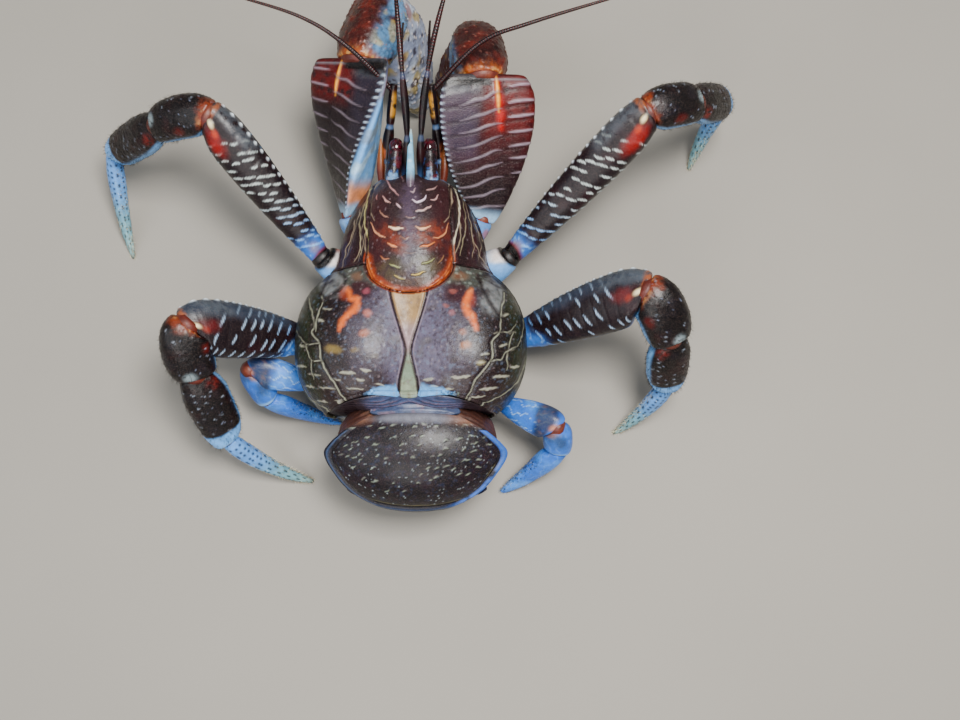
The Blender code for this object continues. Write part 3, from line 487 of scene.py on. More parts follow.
def trunk_rings():
    """The dense skin of the whole trunk, with the hollow in its rear edge, ending short of it by the rolled
    rim's reach.
    """
    probe = np.linspace(TRUNK_FRONT, TRUNK_REAR, PROBES)
    ways = np.array((0.0, 0.8, 1.5))
    _, reach = trunk_points(np.repeat(probe[:, None], len(ways), 1), np.repeat(ways[None], PROBES, 0))
    steps = np.hypot(np.diff(probe)[:, None], np.diff(reach, axis=0)).max(1)
    travelled = np.concatenate([[0], np.cumsum(steps)])
    stations = np.interp(np.linspace(0, travelled[-1], RING_COUNT), travelled, probe)
    top = np.linspace(-UNDER_ANGLE, UNDER_ANGLE, TOP_COLUMNS, endpoint=False)
    under = np.linspace(UNDER_ANGLE, 2 * np.pi - UNDER_ANGLE, UNDER_COLUMNS, endpoint=False)
    angles = np.concatenate([top, under])
    some = np.interp(np.linspace(0, 1, COARSE_ROWS), np.linspace(0, 1, RING_COUNT), stations)
    around = np.linspace(0, 2 * np.pi, COARSE_COLUMNS, endpoint=False)
    _, reach = trunk_points(
        np.repeat(some[:, None], COARSE_COLUMNS, 1), np.repeat(around[None], COARSE_ROWS, 0)
    )
    rows = np.interp(stations, some, np.arange(COARSE_ROWS))
    columns = (angles % (2 * np.pi)) / (2 * np.pi) * COARSE_COLUMNS
    guess = finer(reach, rows, columns)
    wide = np.abs(np.sin(angles) * guess)
    rear = np.interp(wide, *zip(*REAR_NOTCH)) - RIM_ROLL
    y = np.repeat(stations[:, None], len(angles), 1)
    share = (y - REAR_WARP_START) / (TRUNK_REAR - REAR_WARP_START)
    y = np.where(y > REAR_WARP_START, REAR_WARP_START + share * (rear - REAR_WARP_START), y)
    rows = np.interp(y, some, np.arange(COARSE_ROWS))
    upper = np.floor(rows).astype(int).clip(0, COARSE_ROWS - 2)
    part = rows - upper
    left = np.floor(columns).astype(int) % COARSE_COLUMNS
    beside = columns - np.floor(columns)
    right = (left + 1) % COARSE_COLUMNS
    guess = (reach[upper, left] * (1 - beside) + reach[upper, right] * beside) * (1 - part) + (
        reach[upper + 1, left] * (1 - beside) + reach[upper + 1, right] * beside
    ) * part
    return trunk_points(y, np.repeat(angles[None], RING_COUNT, 0), guess)[0]


# A point inside the trunk, and a face by which the turn of all of them is told.
TRUNK_MIDDLE = (0, -25, 46)
PROBE_FACE = 5000


def crop_frame(left, top, zoom):
    """Turns photograph pixels into the finer places that a stretch of drawn lines is given in."""
    return lambda pixels: (pixels - vec((left, top))) * zoom


# Marks of the carapace, drawn from behind and above as the camera sees them.
SHIELD_ZOOM = 8.62
SHIELD_PLACES = crop_frame(330.1, 119.0, SHIELD_ZOOM)
# The middle of the shield and of the trunk, across, in these places.
MIDDLE_ACROSS = 690
DOME_PLACES = crop_frame(281.0, 140.0, 5.43)

# Raised crescents of the shield: colour, width, strength, then the line through it.
CRESCENTS = (
    ("#c9a0a0", 12, 0.8, ((475, 510), (520, 580), (590, 660))),
    ("#d8b0a8", 14, 0.9, ((455, 665), (480, 705), (525, 720))),
    ("#d8bcc0", 14, 0.9, ((570, 730), (590, 752), (612, 765))),
    ("#b98c86", 10, 0.7, ((410, 650), (402, 675), (410, 700))),
    ("#c49a86", 12, 0.8, ((425, 785), (455, 825), (500, 850))),
    ("#f0d4b4", 20, 1.0, ((505, 925), (560, 945), (625, 935))),
    ("#e0a884", 14, 0.9, ((350, 890), (400, 980), (480, 1025))),
    ("#e8a070", 15, 0.9, ((500, 1070), (540, 1095), (575, 1100))),
    ("#c08660", 12, 0.7, ((430, 1180), (465, 1205), (505, 1200))),
    ("#a9ac7c", 14, 0.8, ((515, 1245), (560, 1272), (600, 1280))),
    ("#c0b070", 14, 0.8, ((555, 1345), (600, 1370), (640, 1380))),
    ("#b08888", 10, 0.6, ((540, 480), (600, 480), (630, 520))),
    ("#c4a4a0", 12, 0.8, ((835, 615), (880, 605), (920, 580))),
    ("#e4d0dc", 15, 1.0, ((710, 695), (750, 715), (815, 690), (825, 660))),
    ("#d4b0ac", 12, 0.8, ((865, 700), (910, 690), (930, 650))),
    ("#c8b0b4", 12, 0.7, ((690, 620), (715, 630), (735, 595))),
    ("#d8b8b0", 13, 0.8, ((740, 790), (800, 785), (870, 750))),
    ("#e8b890", 18, 0.9, ((735, 930), (800, 945), (865, 925))),
    ("#d49a70", 13, 0.9, ((885, 1020), (940, 1020), (990, 980), (1020, 900))),
    ("#e09050", 15, 0.9, ((770, 1100), (850, 1090), (900, 1065))),
    ("#a4a878", 14, 0.8, ((790, 1250), (850, 1235), (900, 1200))),
    ("#d0b864", 14, 0.9, ((700, 1345), (760, 1335), (815, 1315))),
    ("#a07c58", 11, 0.7, ((935, 1240), (960, 1210), (980, 1175))),
    ("#a08074", 10, 0.6, ((640, 840), (690, 852), (740, 840))),
    ("#90705c", 10, 0.5, ((640, 1150), (690, 1162), (740, 1150))),
    ("#b0805c", 11, 0.6, ((600, 1010), (640, 1030), (680, 1022))),
)
# Lines along the shield's edges, cream to yellow-green.
SHIELD_LINES = (
    ("#b7a890", 11, 0.8, ((425, 540), (370, 620), (345, 720), (345, 800), (380, 870))),
    ("#b7a890", 11, 0.8, ((985, 480), (1040, 600), (1055, 700), (1035, 830), (985, 885))),
    (
        "#c8c088", 13, 0.9,
        ((470, 460), (400, 520), (345, 600), (310, 720), (290, 880), (310, 1000), (330, 1190))
    ),
    (
        "#e0d8c0", 14, 0.9,
        (
            (990, 480), (1060, 570), (1110, 700), (1120, 830), (1100, 950), (1070, 1060), (1080, 1200),
            (1050, 1320)
        )
    ),
    ("#b8b090", 9, 0.7, ((330, 640), (270, 800), (250, 980), (265, 1180))),
    ("#b8b090", 9, 0.7, ((1090, 560), (1160, 760), (1165, 960), (1120, 1180))),
)
# The thick orange-red rear rim.
SHIELD_RIM = (
    (318, 1190), (345, 1300), (400, 1395), (560, 1475), (720, 1500), (870, 1450), (1000, 1330), (1060, 1200),
    (1075, 1120)
)
# Thin lines that run from front to back on the flanks beside the shield, in the domes' places.
FLANK_LINES = (
    ((430, 380), (400, 470), (378, 560), (345, 640)),
    ((450, 420), (430, 520), (425, 600), (395, 660)),
    ((470, 440), (455, 540), (460, 620), (470, 680)),
    ((400, 430), (380, 520), (350, 600), (330, 690)),
    ((440, 520), (442, 580), (412, 655)),
    ((960, 330), (975, 450), (970, 560), (935, 650)),
    ((1000, 330), (1030, 450), (1050, 560), (1040, 640)),
    ((1040, 400), (1075, 500), (1090, 590), (1075, 650)),
    ((1060, 460), (1105, 560), (1130, 640), (1145, 720)),
    ((1030, 470), (1058, 560), (1092, 640), (1130, 700)),
)
# Lines that part the domes into fields, and their branches.
DOME_LINES = (
    (
        11,
        (
            (150, 860), (180, 1000), (165, 1050), (205, 1100), (215, 1200), (280, 1310), (330, 1390),
            (400, 1450)
        )
    ),
    (9, ((215, 840), (225, 880), (190, 970), (185, 1040))),
    (9, ((85, 1050), (130, 1110), (160, 1190), (215, 1200))),
    (7, ((160, 1190), (165, 1260), (175, 1300))),
    (5, ((330, 700), (270, 720), (215, 840))),
    (5, ((225, 870), (300, 820), (350, 760), (322, 720))),
    (8, ((105, 1308), (152, 1401), (236, 1457), (357, 1494))),
    (7, ((85, 1050), (70, 980), (95, 900), (150, 800))),
    (6, ((205, 1100), (130, 1110))),
    (
        11,
        (
            (1215, 830), (1195, 960), (1190, 1040), (1145, 1100), (1145, 1190), (1060, 1300), (1020, 1380),
            (965, 1440)
        )
    ),
    (5, ((1080, 770), (1110, 830), (1165, 930), (1195, 960))),
    (8, ((1260, 1040), (1235, 1150), (1230, 1250))),
    (8, ((1145, 1200), (1200, 1190), (1230, 1150), (1290, 1120))),
    (5, ((1080, 770), (1075, 740), (1150, 740), (1215, 800))),
    (8, ((1329, 1195), (1292, 1308), (1208, 1382), (1077, 1438), (965, 1457))),
    (7, ((1290, 1120), (1320, 1010), (1300, 900), (1250, 800))),
    (6, ((1190, 1040), (1240, 1040), (1275, 1000))),
)
# Pale dashes on the domes: place and width.
DOME_DASHES = (
    (250, 915, 50), (210, 980, 44), (180, 1275, 70), (360, 1265, 80), (460, 1250, 56), (255, 1350, 80),
    (400, 1350, 90),
    (340, 1420, 90), (490, 1385, 70), (540, 1330, 50), (120, 1120, 40), (110, 1230, 50), (150, 1340, 60),
    (225, 1420, 60),
    (975, 1285, 100), (1195, 1285, 80), (1125, 1350, 90), (905, 1355, 60), (800, 1300, 50), (830, 1340, 46),
    (890, 1395, 70), (960, 1400, 60), (1065, 1395, 80), (1250, 1140, 50), (1210, 1115, 44), (1110, 1165, 46),
    (1085, 1210, 50), (1250, 1045, 44), (1180, 1045, 46), (1215, 950, 36), (1270, 1230, 46), (1020, 1440, 60),
    (290, 1460, 60), (430, 1300, 40), (300, 1300, 40),
)
# Patches on the domes: place, radii, turn, colour and strength.
DOME_PATCHES = (
    ((345, 830), (34, 46), 0, "#d8663a", 0.55),
    ((470, 940), (28, 24), 0, "#d88a78", 0.8),
    ((450, 1050), (34, 22), -10, "#d07c4c", 0.8),
    ((285, 1135), (52, 26), 5, "#a99454", 0.9),
    ((400, 1140), (26, 16), 0, "#a08a58", 0.7),
    ((512, 1170), (22, 16), 0, "#8f8468", 0.5),
    ((460, 820), (24, 16), 0, "#b86a78", 0.8),
    ((935, 820), (26, 16), 0, "#b87468", 0.7),
    ((900, 900), (20, 14), 0, "#b06c60", 0.7),
    ((930, 940), (20, 16), 0, "#b8787c", 0.7),
    ((990, 1040), (26, 18), 0, "#b8784c", 0.7),
    ((1005, 1115), (34, 24), -8, "#d08a48", 0.9),
    ((1025, 870), (34, 50), 0, "#d8663a", 0.5),
    ((1090, 1210), (30, 14), 0, "#b8ae70", 0.7),
    ((410, 740), (36, 26), 0, "#a87454", 0.6),
    ((975, 740), (50, 26), 0, "#a06c44", 0.6),
    ((820, 1150), (26, 20), 0, "#7c7078", 0.5),
)
ORANGE_STREAKS = (
    (46, ((368, 815), (380, 860), (415, 872), (392, 925), (345, 965), (318, 1030))),
    (46, ((1028, 810), (1005, 880), (1012, 930), (1045, 970), (1060, 1030))),
)


# Patches on the shield: place, radii, colour and strength.
SHIELD_PATCHES = (
    ((515, 1000), (115, 100), "#a8502c", 0.75),
    ((880, 1000), (150, 100), "#b0552a", 0.8),
    ((600, 1100), (70, 60), "#b85a30", 0.5),
    ((515, 1290), (100, 80), "#6a6634", 0.8),
    ((820, 1270), (120, 80), "#6d6a38", 0.8),
    ((690, 1400), (170, 60), "#7c5a30", 0.6),
    ((420, 1120), (80, 110), "#4a1c22", 0.7),
    ((1000, 1080), (60, 110), "#571f20", 0.7),
    ((480, 560), (90, 70), "#5a4a3e", 0.5),
    ((900, 560), (100, 70), "#554640", 0.5),
)
# Half the width of the plate between the domes, by y.
WEDGE_ROWS = (
    (-90, 8.3), (-23, 8.3), (-19, 7.4), (-12, 5.4), (-6, 3.5), (0, 1.7), (3, 1.1), (6, 1.2), (11, 2.3),
    (17, 3.7),
    (22, 4.2), (60, 4.2),
)
WEDGE_START = -30
# How wide the light-blue rear margin is, by the distance from the middle.
MARGIN_ROWS = ((0, 1.0), (4, 1.4), (5.5, 5.2), (10, 4.4), (16, 3.4), (22, 2.4), (36, 0.8))
BELLY_GROOVES = (-52, -36, -19, -3, 10)
# The hollow of an orbit beside the beak: place and radius.
ORBIT_PLACE, ORBIT_RADIUS = (8.6, -83.0), 5.2


def shield_half(y):
    """Half the width of the shield at y, before its round end."""
    return SHIELD_FRONT_HALF_WIDTH + (SHIELD_HALF_WIDTH - SHIELD_FRONT_HALF_WIDTH) * (y + 120) / 83


def inside_shield(x, y):
    """True where the shield is, seen from above."""
    round_end = (x / SHIELD_HALF_WIDTH) ** 2 + ((y - SHIELD_ARC_CENTRE) / SHIELD_ARC_LENGTH) ** 2 < 1
    return np.where(y < SHIELD_ARC_CENTRE, np.abs(x) < shield_half(y), round_end)


def wedge_half(y):
    """Half the width at y of the plate between the domes."""
    return np.interp(y, *zip(*WEDGE_ROWS))


def shield_edge():
    """The line round the shield's sides and rear, seen from above."""
    turn = np.linspace(0, np.pi, 40)
    arc = np.stack(
        [SHIELD_HALF_WIDTH * np.cos(turn), SHIELD_ARC_CENTRE + SHIELD_ARC_LENGTH * np.sin(turn)], -1
    )
    y = np.linspace(SHIELD_FRONT, SHIELD_ARC_CENTRE, 20)[:-1]
    right = np.stack([shield_half(y), y], -1)
    return np.concatenate([right, arc, (right * vec((-1, 1)))[::-1]])


def shaken(places, reach, first, second):
    """Places moved by two grids of noise, for the ragged edges of drawn marks."""
    return places + np.stack([first, second], -1) * reach


def either(places, first, second, soft):
    """A mask over two oval patches, each a place and its radii."""
    return np.maximum(spot(places, *first, soft), spot(places, *second, soft))


# Each part of the paint takes what it needs, changes lift and roughness in place and returns the colour.
def paint_domes(colour, rough, lift, points, x, y, dome, top, dome_at, wander, fine, **_):
    """Painted grey highlight near the middle of the domes, brown-maroon and olive outwards, and their marks.
    """
    outward = np.abs(x + 2.0)
    tone = overlaid(
        plain("#4b4453", len(points)),
        # Painted highlight: a lilac-grey sheen near the middle of the domes.
        ("#86829a", 0.75 * smooth(21, 7, outward + 5 * wander) * smooth(-26, -12, y) * smooth(24, 12, y)),
        ("#5a525e", 0.5 * smooth(-30, -22, y) * smooth(30, 18, outward)),
        ("#22151a", smooth(23, 33, outward + 4 * wander)),
        ("#3a2c2c", 0.8 * smooth(8, 20, y + 5 * wander) * smooth(8, 14, outward)),
        ("#2c3a18", 0.7 * smooth(36, 47, outward + 5 * wander)),
        ("#6a655f", 0.45 * smooth(0.1, 0.6, noise(points, 6, 23, 2)) * smooth(30, 18, outward)),
        ("#2a1f26", 0.45 * smooth(0.1, 0.7, noise(points, 4, 29, 2))),
    )
    flecks = noise(points, 1.1, 127, 2)
    tone = overlaid(
        tone,
        ("#76879c", 0.35 * smooth(0.15, 0.6, flecks)),
        ("#2b1620", 0.5 * smooth(0.1, 0.55, -flecks)),
    )
    colour = np.where(dome[:, None], tone, colour)
    mark = np.where(dome, 1.0, 0.0) * top
    front = mark * either(dome_at, ((425, 735), (125, 78)), ((990, 735), (120, 78)), 0.3)
    spots, kind = pebbles(points, 2.4, 113)
    colour = overlaid(
        colour,
        ("#5c6156", 0.7 * front),
        ("#97a099", 0.55 * front * smooth(0.5, 0.75, spots) * (kind > 0.5)),
        ("#4a2226", 0.6 * front * smooth(0.2, 0.5, fine)),
    )
    side = mark * either(dome_at, ((280, 775), (78, 78)), ((1145, 850), (72, 105)), 0.3)
    colour = washed(colour, "#8f9292", 0.75 * side * smooth(-0.6, 0.3, wander + fine * 0.5))
    dark = mark * either(dome_at, ((435, 810), (62, 46)), ((945, 830), (58, 56)), 0.4)
    colour = washed(colour, "#43202a", 0.85 * dark)
    for centre, radii, turn, shade, share in DOME_PATCHES:
        ragged = shaken(dome_at, 9, wander, fine)
        colour = washed(
            colour, shade, 0.6 * share * mark * spot(ragged, centre, vec(radii) * 0.85, 0.6, turn)
        )
    for width, line in ORANGE_STREAKS:
        ragged = shaken(dome_at, 9, noise(points, 3, 31, 2), noise(points, 3, 37, 2))
        streak = mark * stroke(ragged, line, width * 0.75, 34, 0.5)
        colour = overlaid(
            colour,
            ("#e07a30", 0.9 * streak * smooth(-0.75, -0.1, fine + 0.5 * wander + 0.5 * streak)),
            ("#f0b080", 0.4 * streak * smooth(0.1, 0.6, fine)),
        )
        lift += 0.05 * streak
    for dash_x, dash_y, wide in DOME_DASHES:
        way = 1 if dash_x > MIDDLE_ACROSS else -1
        half = wide / 2
        bow = 7 * math.sin(dash_x * 1.7 + dash_y)
        line = (
            (dash_x - half, dash_y + 4 * way), (dash_x, dash_y + bow * 0.4), (dash_x + half, dash_y - 4 * way)
        )
        ragged = shaken(dome_at, 5, fine, noise(points, 1.3, 41))
        dash = mark * stroke(ragged, line, 12 + 4 * math.sin(dash_x), 9, 0.6)
        colour = washed(colour, "#b4b3a2", 0.75 * dash)
        lift += 0.16 * dash
    for width, line in DOME_LINES:
        ragged = shaken(dome_at, 5, noise(points, 2.5, 43), noise(points, 2.5, 47))
        ridge = mark * stroke(ragged, line, width * 0.65, 6, 0.3)
        hollow = mark * stroke(ragged, line, width + 20, 14, 0.3)
        colour = overlaid(
            colour,
            ("#1c1216", 0.6 * hollow),
            ("#aaab98" if width > 5 else "#23191e", 0.8 * ridge),
        )
        lift += (0.12 if width > 5 else -0.15) * ridge - 0.28 * hollow
        rough += 0.15 * ridge
    return colour


def paint_wedge(colour, lift, points, x, y, z, wedge, wander, fine, **_):
    """The plate between the domes and the grooves beside it."""
    tone = overlaid(
        plain("#a58a62", len(points)),
        ("#c8ad88", 0.5 * smooth(0.0, 0.7, wander)),
        ("#a08c8e", smooth(-12, -4, y)),
        ("#7f8d7b", smooth(2, 8, y)),
        ("#a9b09a", 0.6 * smooth(14, 20, y)),
        ("#6f5a4a", 0.5 * smooth(-0.1, 0.7, fine)),
    )
    colour = np.where(wedge[:, None], tone, colour)
    to_wedge = np.abs(np.abs(x) - wedge_half(y)) * 0.93
    behind = ~inside_shield(x, y) & (y > WEDGE_START) & (z > 40)
    groove = behind * smooth(1.3, 0.2, to_wedge)
    colour = washed(colour, "#2a1419", 0.9 * behind * smooth(0.85, 0.3, to_wedge))
    pale = behind * smooth(0.45, 0.15, np.abs(to_wedge - 1.15)) * (np.abs(x) > wedge_half(y))
    colour = washed(colour, "#a596a0", 0.5 * pale)
    lift -= 0.55 * groove
    return colour


def paint_flanks(colour, lift, points, z, flank, top, dome_at, **_):
    """Maroon flanks with long thin lines."""
    tone = overlaid(
        plain("#3c1e25", len(points)),
        ("#241318", 0.6 * smooth(-0.2, 0.5, noise(points * vec((1, 0.4, 1)), 4, 53, 2))),
        ("#5c2a2e", 0.5 * smooth(0.2, 0.8, noise(points * vec((1, 0.3, 1)), 3, 59, 2))),
        ("#3a5a78", 0.7 * smooth(46, 38, z)),
    )
    colour = np.where(flank[:, None], tone, colour)
    for line in FLANK_LINES:
        ragged = shaken(dome_at, 6, noise(points, 3, 61), noise(points, 3, 67))
        ridge = flank * top * stroke(ragged, line, 4.2, 5, 0.6)
        hollow = flank * top * stroke(ragged, line, 26, 16, 0.4)
        colour = washed(colour, "#b0a48c", 0.8 * ridge)
        lift += 0.12 * ridge - 0.3 * hollow
    # Short folds low on the flanks and the sides of the domes, where the camera doesn't look.
    low = (z > BELLY_TOP - 1) & ~top
    folds = np.sin(z * 1.5 + 2.5 * noise(points * vec((1, 0.35, 1)), 7, 71, 2))
    folds = smooth(0.72, 0.95, 0.5 + 0.5 * folds)
    colour = washed(colour, "#8f9a80", 0.55 * folds * low * smooth(-0.3, 0.3, noise(points, 5, 73)))
    lift += 0.15 * folds * low
    return colour


def paint_shield(colour, lift, points, y, z, shield, flank, top, shield_at, to_shield, wander, fine, **_):
    """The shield with its patches, a painted lilac highlight along its middle, raised crescents with painted
    shadows below them, edge lines and rear rim.
    """
    aside = np.abs(shield_at[:, 0] - MIDDLE_ACROSS) / SHIELD_ZOOM
    down = shield_at[:, 1]
    tone = overlaid(
        plain("#3b2b2f", len(points)),
        ("#4a232a", 0.75 * smooth(14, 34, aside + 3 * wander)),
        # Painted highlight: a lilac-grey sheen along the middle of the shield.
        (
            "#7d6f88",
            0.35 * smooth(15, 0, aside + 5 * fine) * smooth(480, 620, down) * smooth(1420, 1250, down)
        ),
        ("#6a6c72", 0.5 * spot(shield_at, (690, 1150), (95, 120), 0.7)),
    )
    for centre, radii, shade, share in SHIELD_PATCHES:
        ragged = shaken(shield_at, 40, wander, fine)
        tone = washed(
            tone, shade, 0.62 * share * spot(ragged, centre, radii, 0.8) * smooth(-0.9, 0.3, fine + wander)
        )
    gold = either(shield_at, ((455, 425), (60, 40)), ((980, 440), (60, 40)), 0.5)
    pale = either(shield_at, ((440, 345), (90, 60)), ((950, 355), (80, 60)), 0.5)
    tone = overlaid(
        tone,
        ("#2a1a20", 0.4 * smooth(0.0, 0.7, fine)),
        ("#d09a3c", 0.8 * gold),
        ("#9cc4de", 0.9 * pale),
    )
    face = smooth(-77.5, -80.0, y) * smooth(68, 60, z)
    tone = overlaid(tone, ("#6f93b4", 0.8 * face), ("#c08a5c", 0.5 * face * smooth(0.0, 0.6, wander)))
    colour = np.where(shield[:, None], tone, colour)
    on_shield = shield * top
    for shade, width, share, line in CRESCENTS:
        ragged = shaken(shield_at, 6, noise(points, 1.6, 79), noise(points, 1.6, 83))
        ridge = on_shield * stroke(ragged, line, width, 9, 0.65)
        # Painted shadow: a dark strip just below each raised crescent, as seen from the camera.
        below = on_shield * stroke(ragged - vec((0, 13)), line, width * 1.2, 14, 0.65)
        colour = overlaid(colour, ("#1f1216", 0.45 * below * share), (shade, share * ridge))
        lift += 0.38 * ridge * share - 0.12 * below
    for shade, width, share, line in SHIELD_LINES:
        ragged = shaken(shield_at, 8, noise(points, 2.5, 89), noise(points, 2.5, 97))
        near_edge = (shield | flank) * top
        ridge = near_edge * stroke(ragged, line, width, 8, 0.5)
        hollow = near_edge * stroke(ragged, line, width * 3, 16, 0.5)
        colour = washed(colour, shade, share * 0.9 * ridge)
        lift += 0.15 * ridge - 0.2 * hollow
    rim = near_line(shield_at, curve_through(SHIELD_RIM, 60))[0]
    rim_at = smooth(66, 22, rim + 14 * fine + 10 * wander) * (z > 45)
    colour = overlaid(
        colour,
        ("#964414", 0.8 * rim_at * (shield | (to_shield < 1.0)) * smooth(-0.9, -0.2, wander)),
        ("#d88a44", 0.6 * smooth(9, 3, np.abs(rim - 12 + 8 * wander)) * shield * smooth(-0.5, 0.3, fine)),
    )
    lift += 0.35 * smooth(26, 8, rim) * shield
    return colour


def paint_seams(colour, lift, y, z, shield, to_shield, **_):
    """Grooves at the seams between plates."""
    seam = (z > BELLY_TOP) * smooth(1.1, 0.1, to_shield)
    lift -= 0.75 * seam * np.where(y > -78, 1, 0)
    colour = washed(colour, "#2a1216", 0.85 * (z > BELLY_TOP) * smooth(0.55, 0.2, to_shield - 0.2) * ~shield)
    brow = (~shield & (z > 44)) * smooth(0.9, 0.1, np.abs(y - DOME_FRONT - 0.3))
    lift -= 0.7 * brow
    colour = washed(colour, "#23141a", 0.8 * brow)
    return colour


def paint_margin(colour, lift, x, y, z, shield, wander, fine, **_):
    """The rear margin in light blue, broader towards the middle."""
    to_rear = np.interp(np.abs(x), *zip(*REAR_NOTCH)) - y
    wide = np.interp(np.abs(x), *zip(*MARGIN_ROWS))
    margin = ~shield * (z > 40) * smooth(1.25, 0.8, to_rear / wide + 0.25 * wander + 0.2 * fine)
    colour = overlaid(
        colour,
        ("#79b4e4", 0.92 * margin * (np.abs(x) > 4.0)),
        ("#8ea3b0", 0.6 * margin * (np.abs(x) <= 4.0)),
    )
    line = smooth(0.8, 0.1, np.abs(to_rear - 2.2))
    lift += 0.25 * smooth(1.4, 0.5, to_rear) * (z > 40) - 0.3 * line * (z > 40)
    return colour


def paint_underside(colour, lift, points, x, y, z, wander, **_):
    """The underside: cream and pale blue, with cross grooves between the legs."""
    under = z < BELLY_TOP
    tone = overlaid(
        plain("#8fa7bb", len(points)),
        ("#c9b79c", 0.6 * smooth(-0.1, 0.6, wander)),
        ("#b86a44", 0.45 * smooth(0.2, 0.7, noise(points, 7, 101, 2))),
        ("#42506c", 0.7 * smooth(30, 37, z)),
    )
    colour = np.where(under[:, None], tone, colour)
    for at in BELLY_GROOVES:
        bent = y - at - 0.12 * np.abs(x)
        groove = under * smooth(1.5, 0.2, np.abs(bent)) * smooth(37, 30, z)
        lift -= 0.9 * groove
        colour = washed(colour, "#3a2a30", 0.7 * groove)
    middle = under * smooth(1.2, 0.2, np.abs(x)) * smooth(26, 22, z)
    lift -= 0.7 * middle
    colour = washed(colour, "#3a2a30", 0.6 * middle)
    return colour


def paint_orbits(colour, lift, x, y, z, shield, **_):
    """The orbits, hollow beside the beak."""
    for sign in (LEFT, RIGHT):
        away = np.hypot((x - sign * ORBIT_PLACE[0]) / ORBIT_RADIUS, (y - ORBIT_PLACE[1]) / ORBIT_RADIUS)
        hollow = smooth(1.25, 0.6, away) * (z > 56) * shield
        lift -= 2.4 * hollow
        colour = washed(colour, "#2a1c26", 0.6 * hollow)
    return colour


def paint_grain(colour, lift, points, z, wander, fine, **_):
    """Fine relief everywhere."""
    grain, own = pebbles(points, 1.9, 107)
    lift += 0.05 * wander + 0.03 * fine + 0.05 * smooth(0.35, 0.8, grain) * (own > 0.35) * (z > BELLY_TOP)
    tiny = (own > 0.8) * smooth(0.62, 0.8, grain) * (z > BELLY_TOP)
    colour = washed(colour, "#9a8f92", 0.35 * tiny)
    return colour


def carapace_paint(points, normals):
    """Colour, roughness and lift of each point of the trunk."""
    x, y, z = points[:, 0], points[:, 1], points[:, 2]
    pixels = seen_at(points)
    top = normals @ -VIEW_AHEAD > 0.12
    shield_at, dome_at = SHIELD_PLACES(pixels), DOME_PLACES(pixels)
    shield = inside_shield(x, y) & (z > BELLY_TOP)
    plan = np.stack([x, y], -1)
    to_shield, _ = near_line(plan, shield_edge())
    wedge = (np.abs(x) < wedge_half(y)) & ~inside_shield(x, y) & (y > WEDGE_START)
    flank = ~shield & (y < DOME_FRONT)
    dome = ~shield & ~wedge & ~flank
    lift = np.zeros(len(points))
    wander = noise(points, 9, 11, 3)
    fine = noise(points, 2.2, 17, 2)
    colour = plain("#33262b", len(points))
    rough = np.full(len(points), 0.38) + 0.08 * fine
    on = {
        "points": points, "x": x, "y": y, "z": z, "top": top, "shield_at": shield_at, "dome_at": dome_at,
        "shield": shield, "to_shield": to_shield, "wedge": wedge, "flank": flank, "dome": dome,
        "wander": wander, "fine": fine, "colour": colour, "rough": rough, "lift": lift,
    }
    for paint in (
        paint_domes, paint_wedge, paint_flanks, paint_shield, paint_seams, paint_margin, paint_underside,
        paint_orbits, paint_grain
    ):
        on["colour"] = paint(**on)
    return on["colour"], rough, lift


def plate_of(points):
    """Which piece of the trunk each place belongs to, as an index of TRUNK_PIECES."""
    x, y, z = points[:, 0], points[:, 1], points[:, 2]
    index = np.where(y > DOME_FRONT, np.where(x > 0, 3, 4), np.where(x > 0, 5, 6))
    index = np.where((np.abs(x) < wedge_half(y)) & (y > WEDGE_START), 2, index)
    index = np.where(inside_shield(x, y), 1, index)
    return np.where(z < BELLY_TOP, 0, index)


TRUNK_PIECES = ("belly", "shield", "wedge", "dome_left", "dome_right", "flank_left", "flank_right")


def thick_part(points, normals, faces, thickness):
    """The points used by some faces, doubled inwards into a closed shell."""
    used, faces = np.unique(faces, return_inverse=True)
    faces = faces.reshape(-1, 4)
    count = len(used)
    ends = np.concatenate([faces[:, [0, 1]], faces[:, [1, 2]], faces[:, [2, 3]], faces[:, [3, 0]]])
    key = ends[:, 0].astype(np.int64) * count + ends[:, 1]
    back = ends[:, 1].astype(np.int64) * count + ends[:, 0]
    rim = ends[~np.isin(key, back)]
    walls = np.stack([rim[:, 1], rim[:, 0], rim[:, 0] + count, rim[:, 1] + count], -1)
    inner = points[used] - normals[used] * thickness
    return used, np.concatenate([points[used], inner]), np.concatenate([faces, faces[:, ::-1] + count, walls])


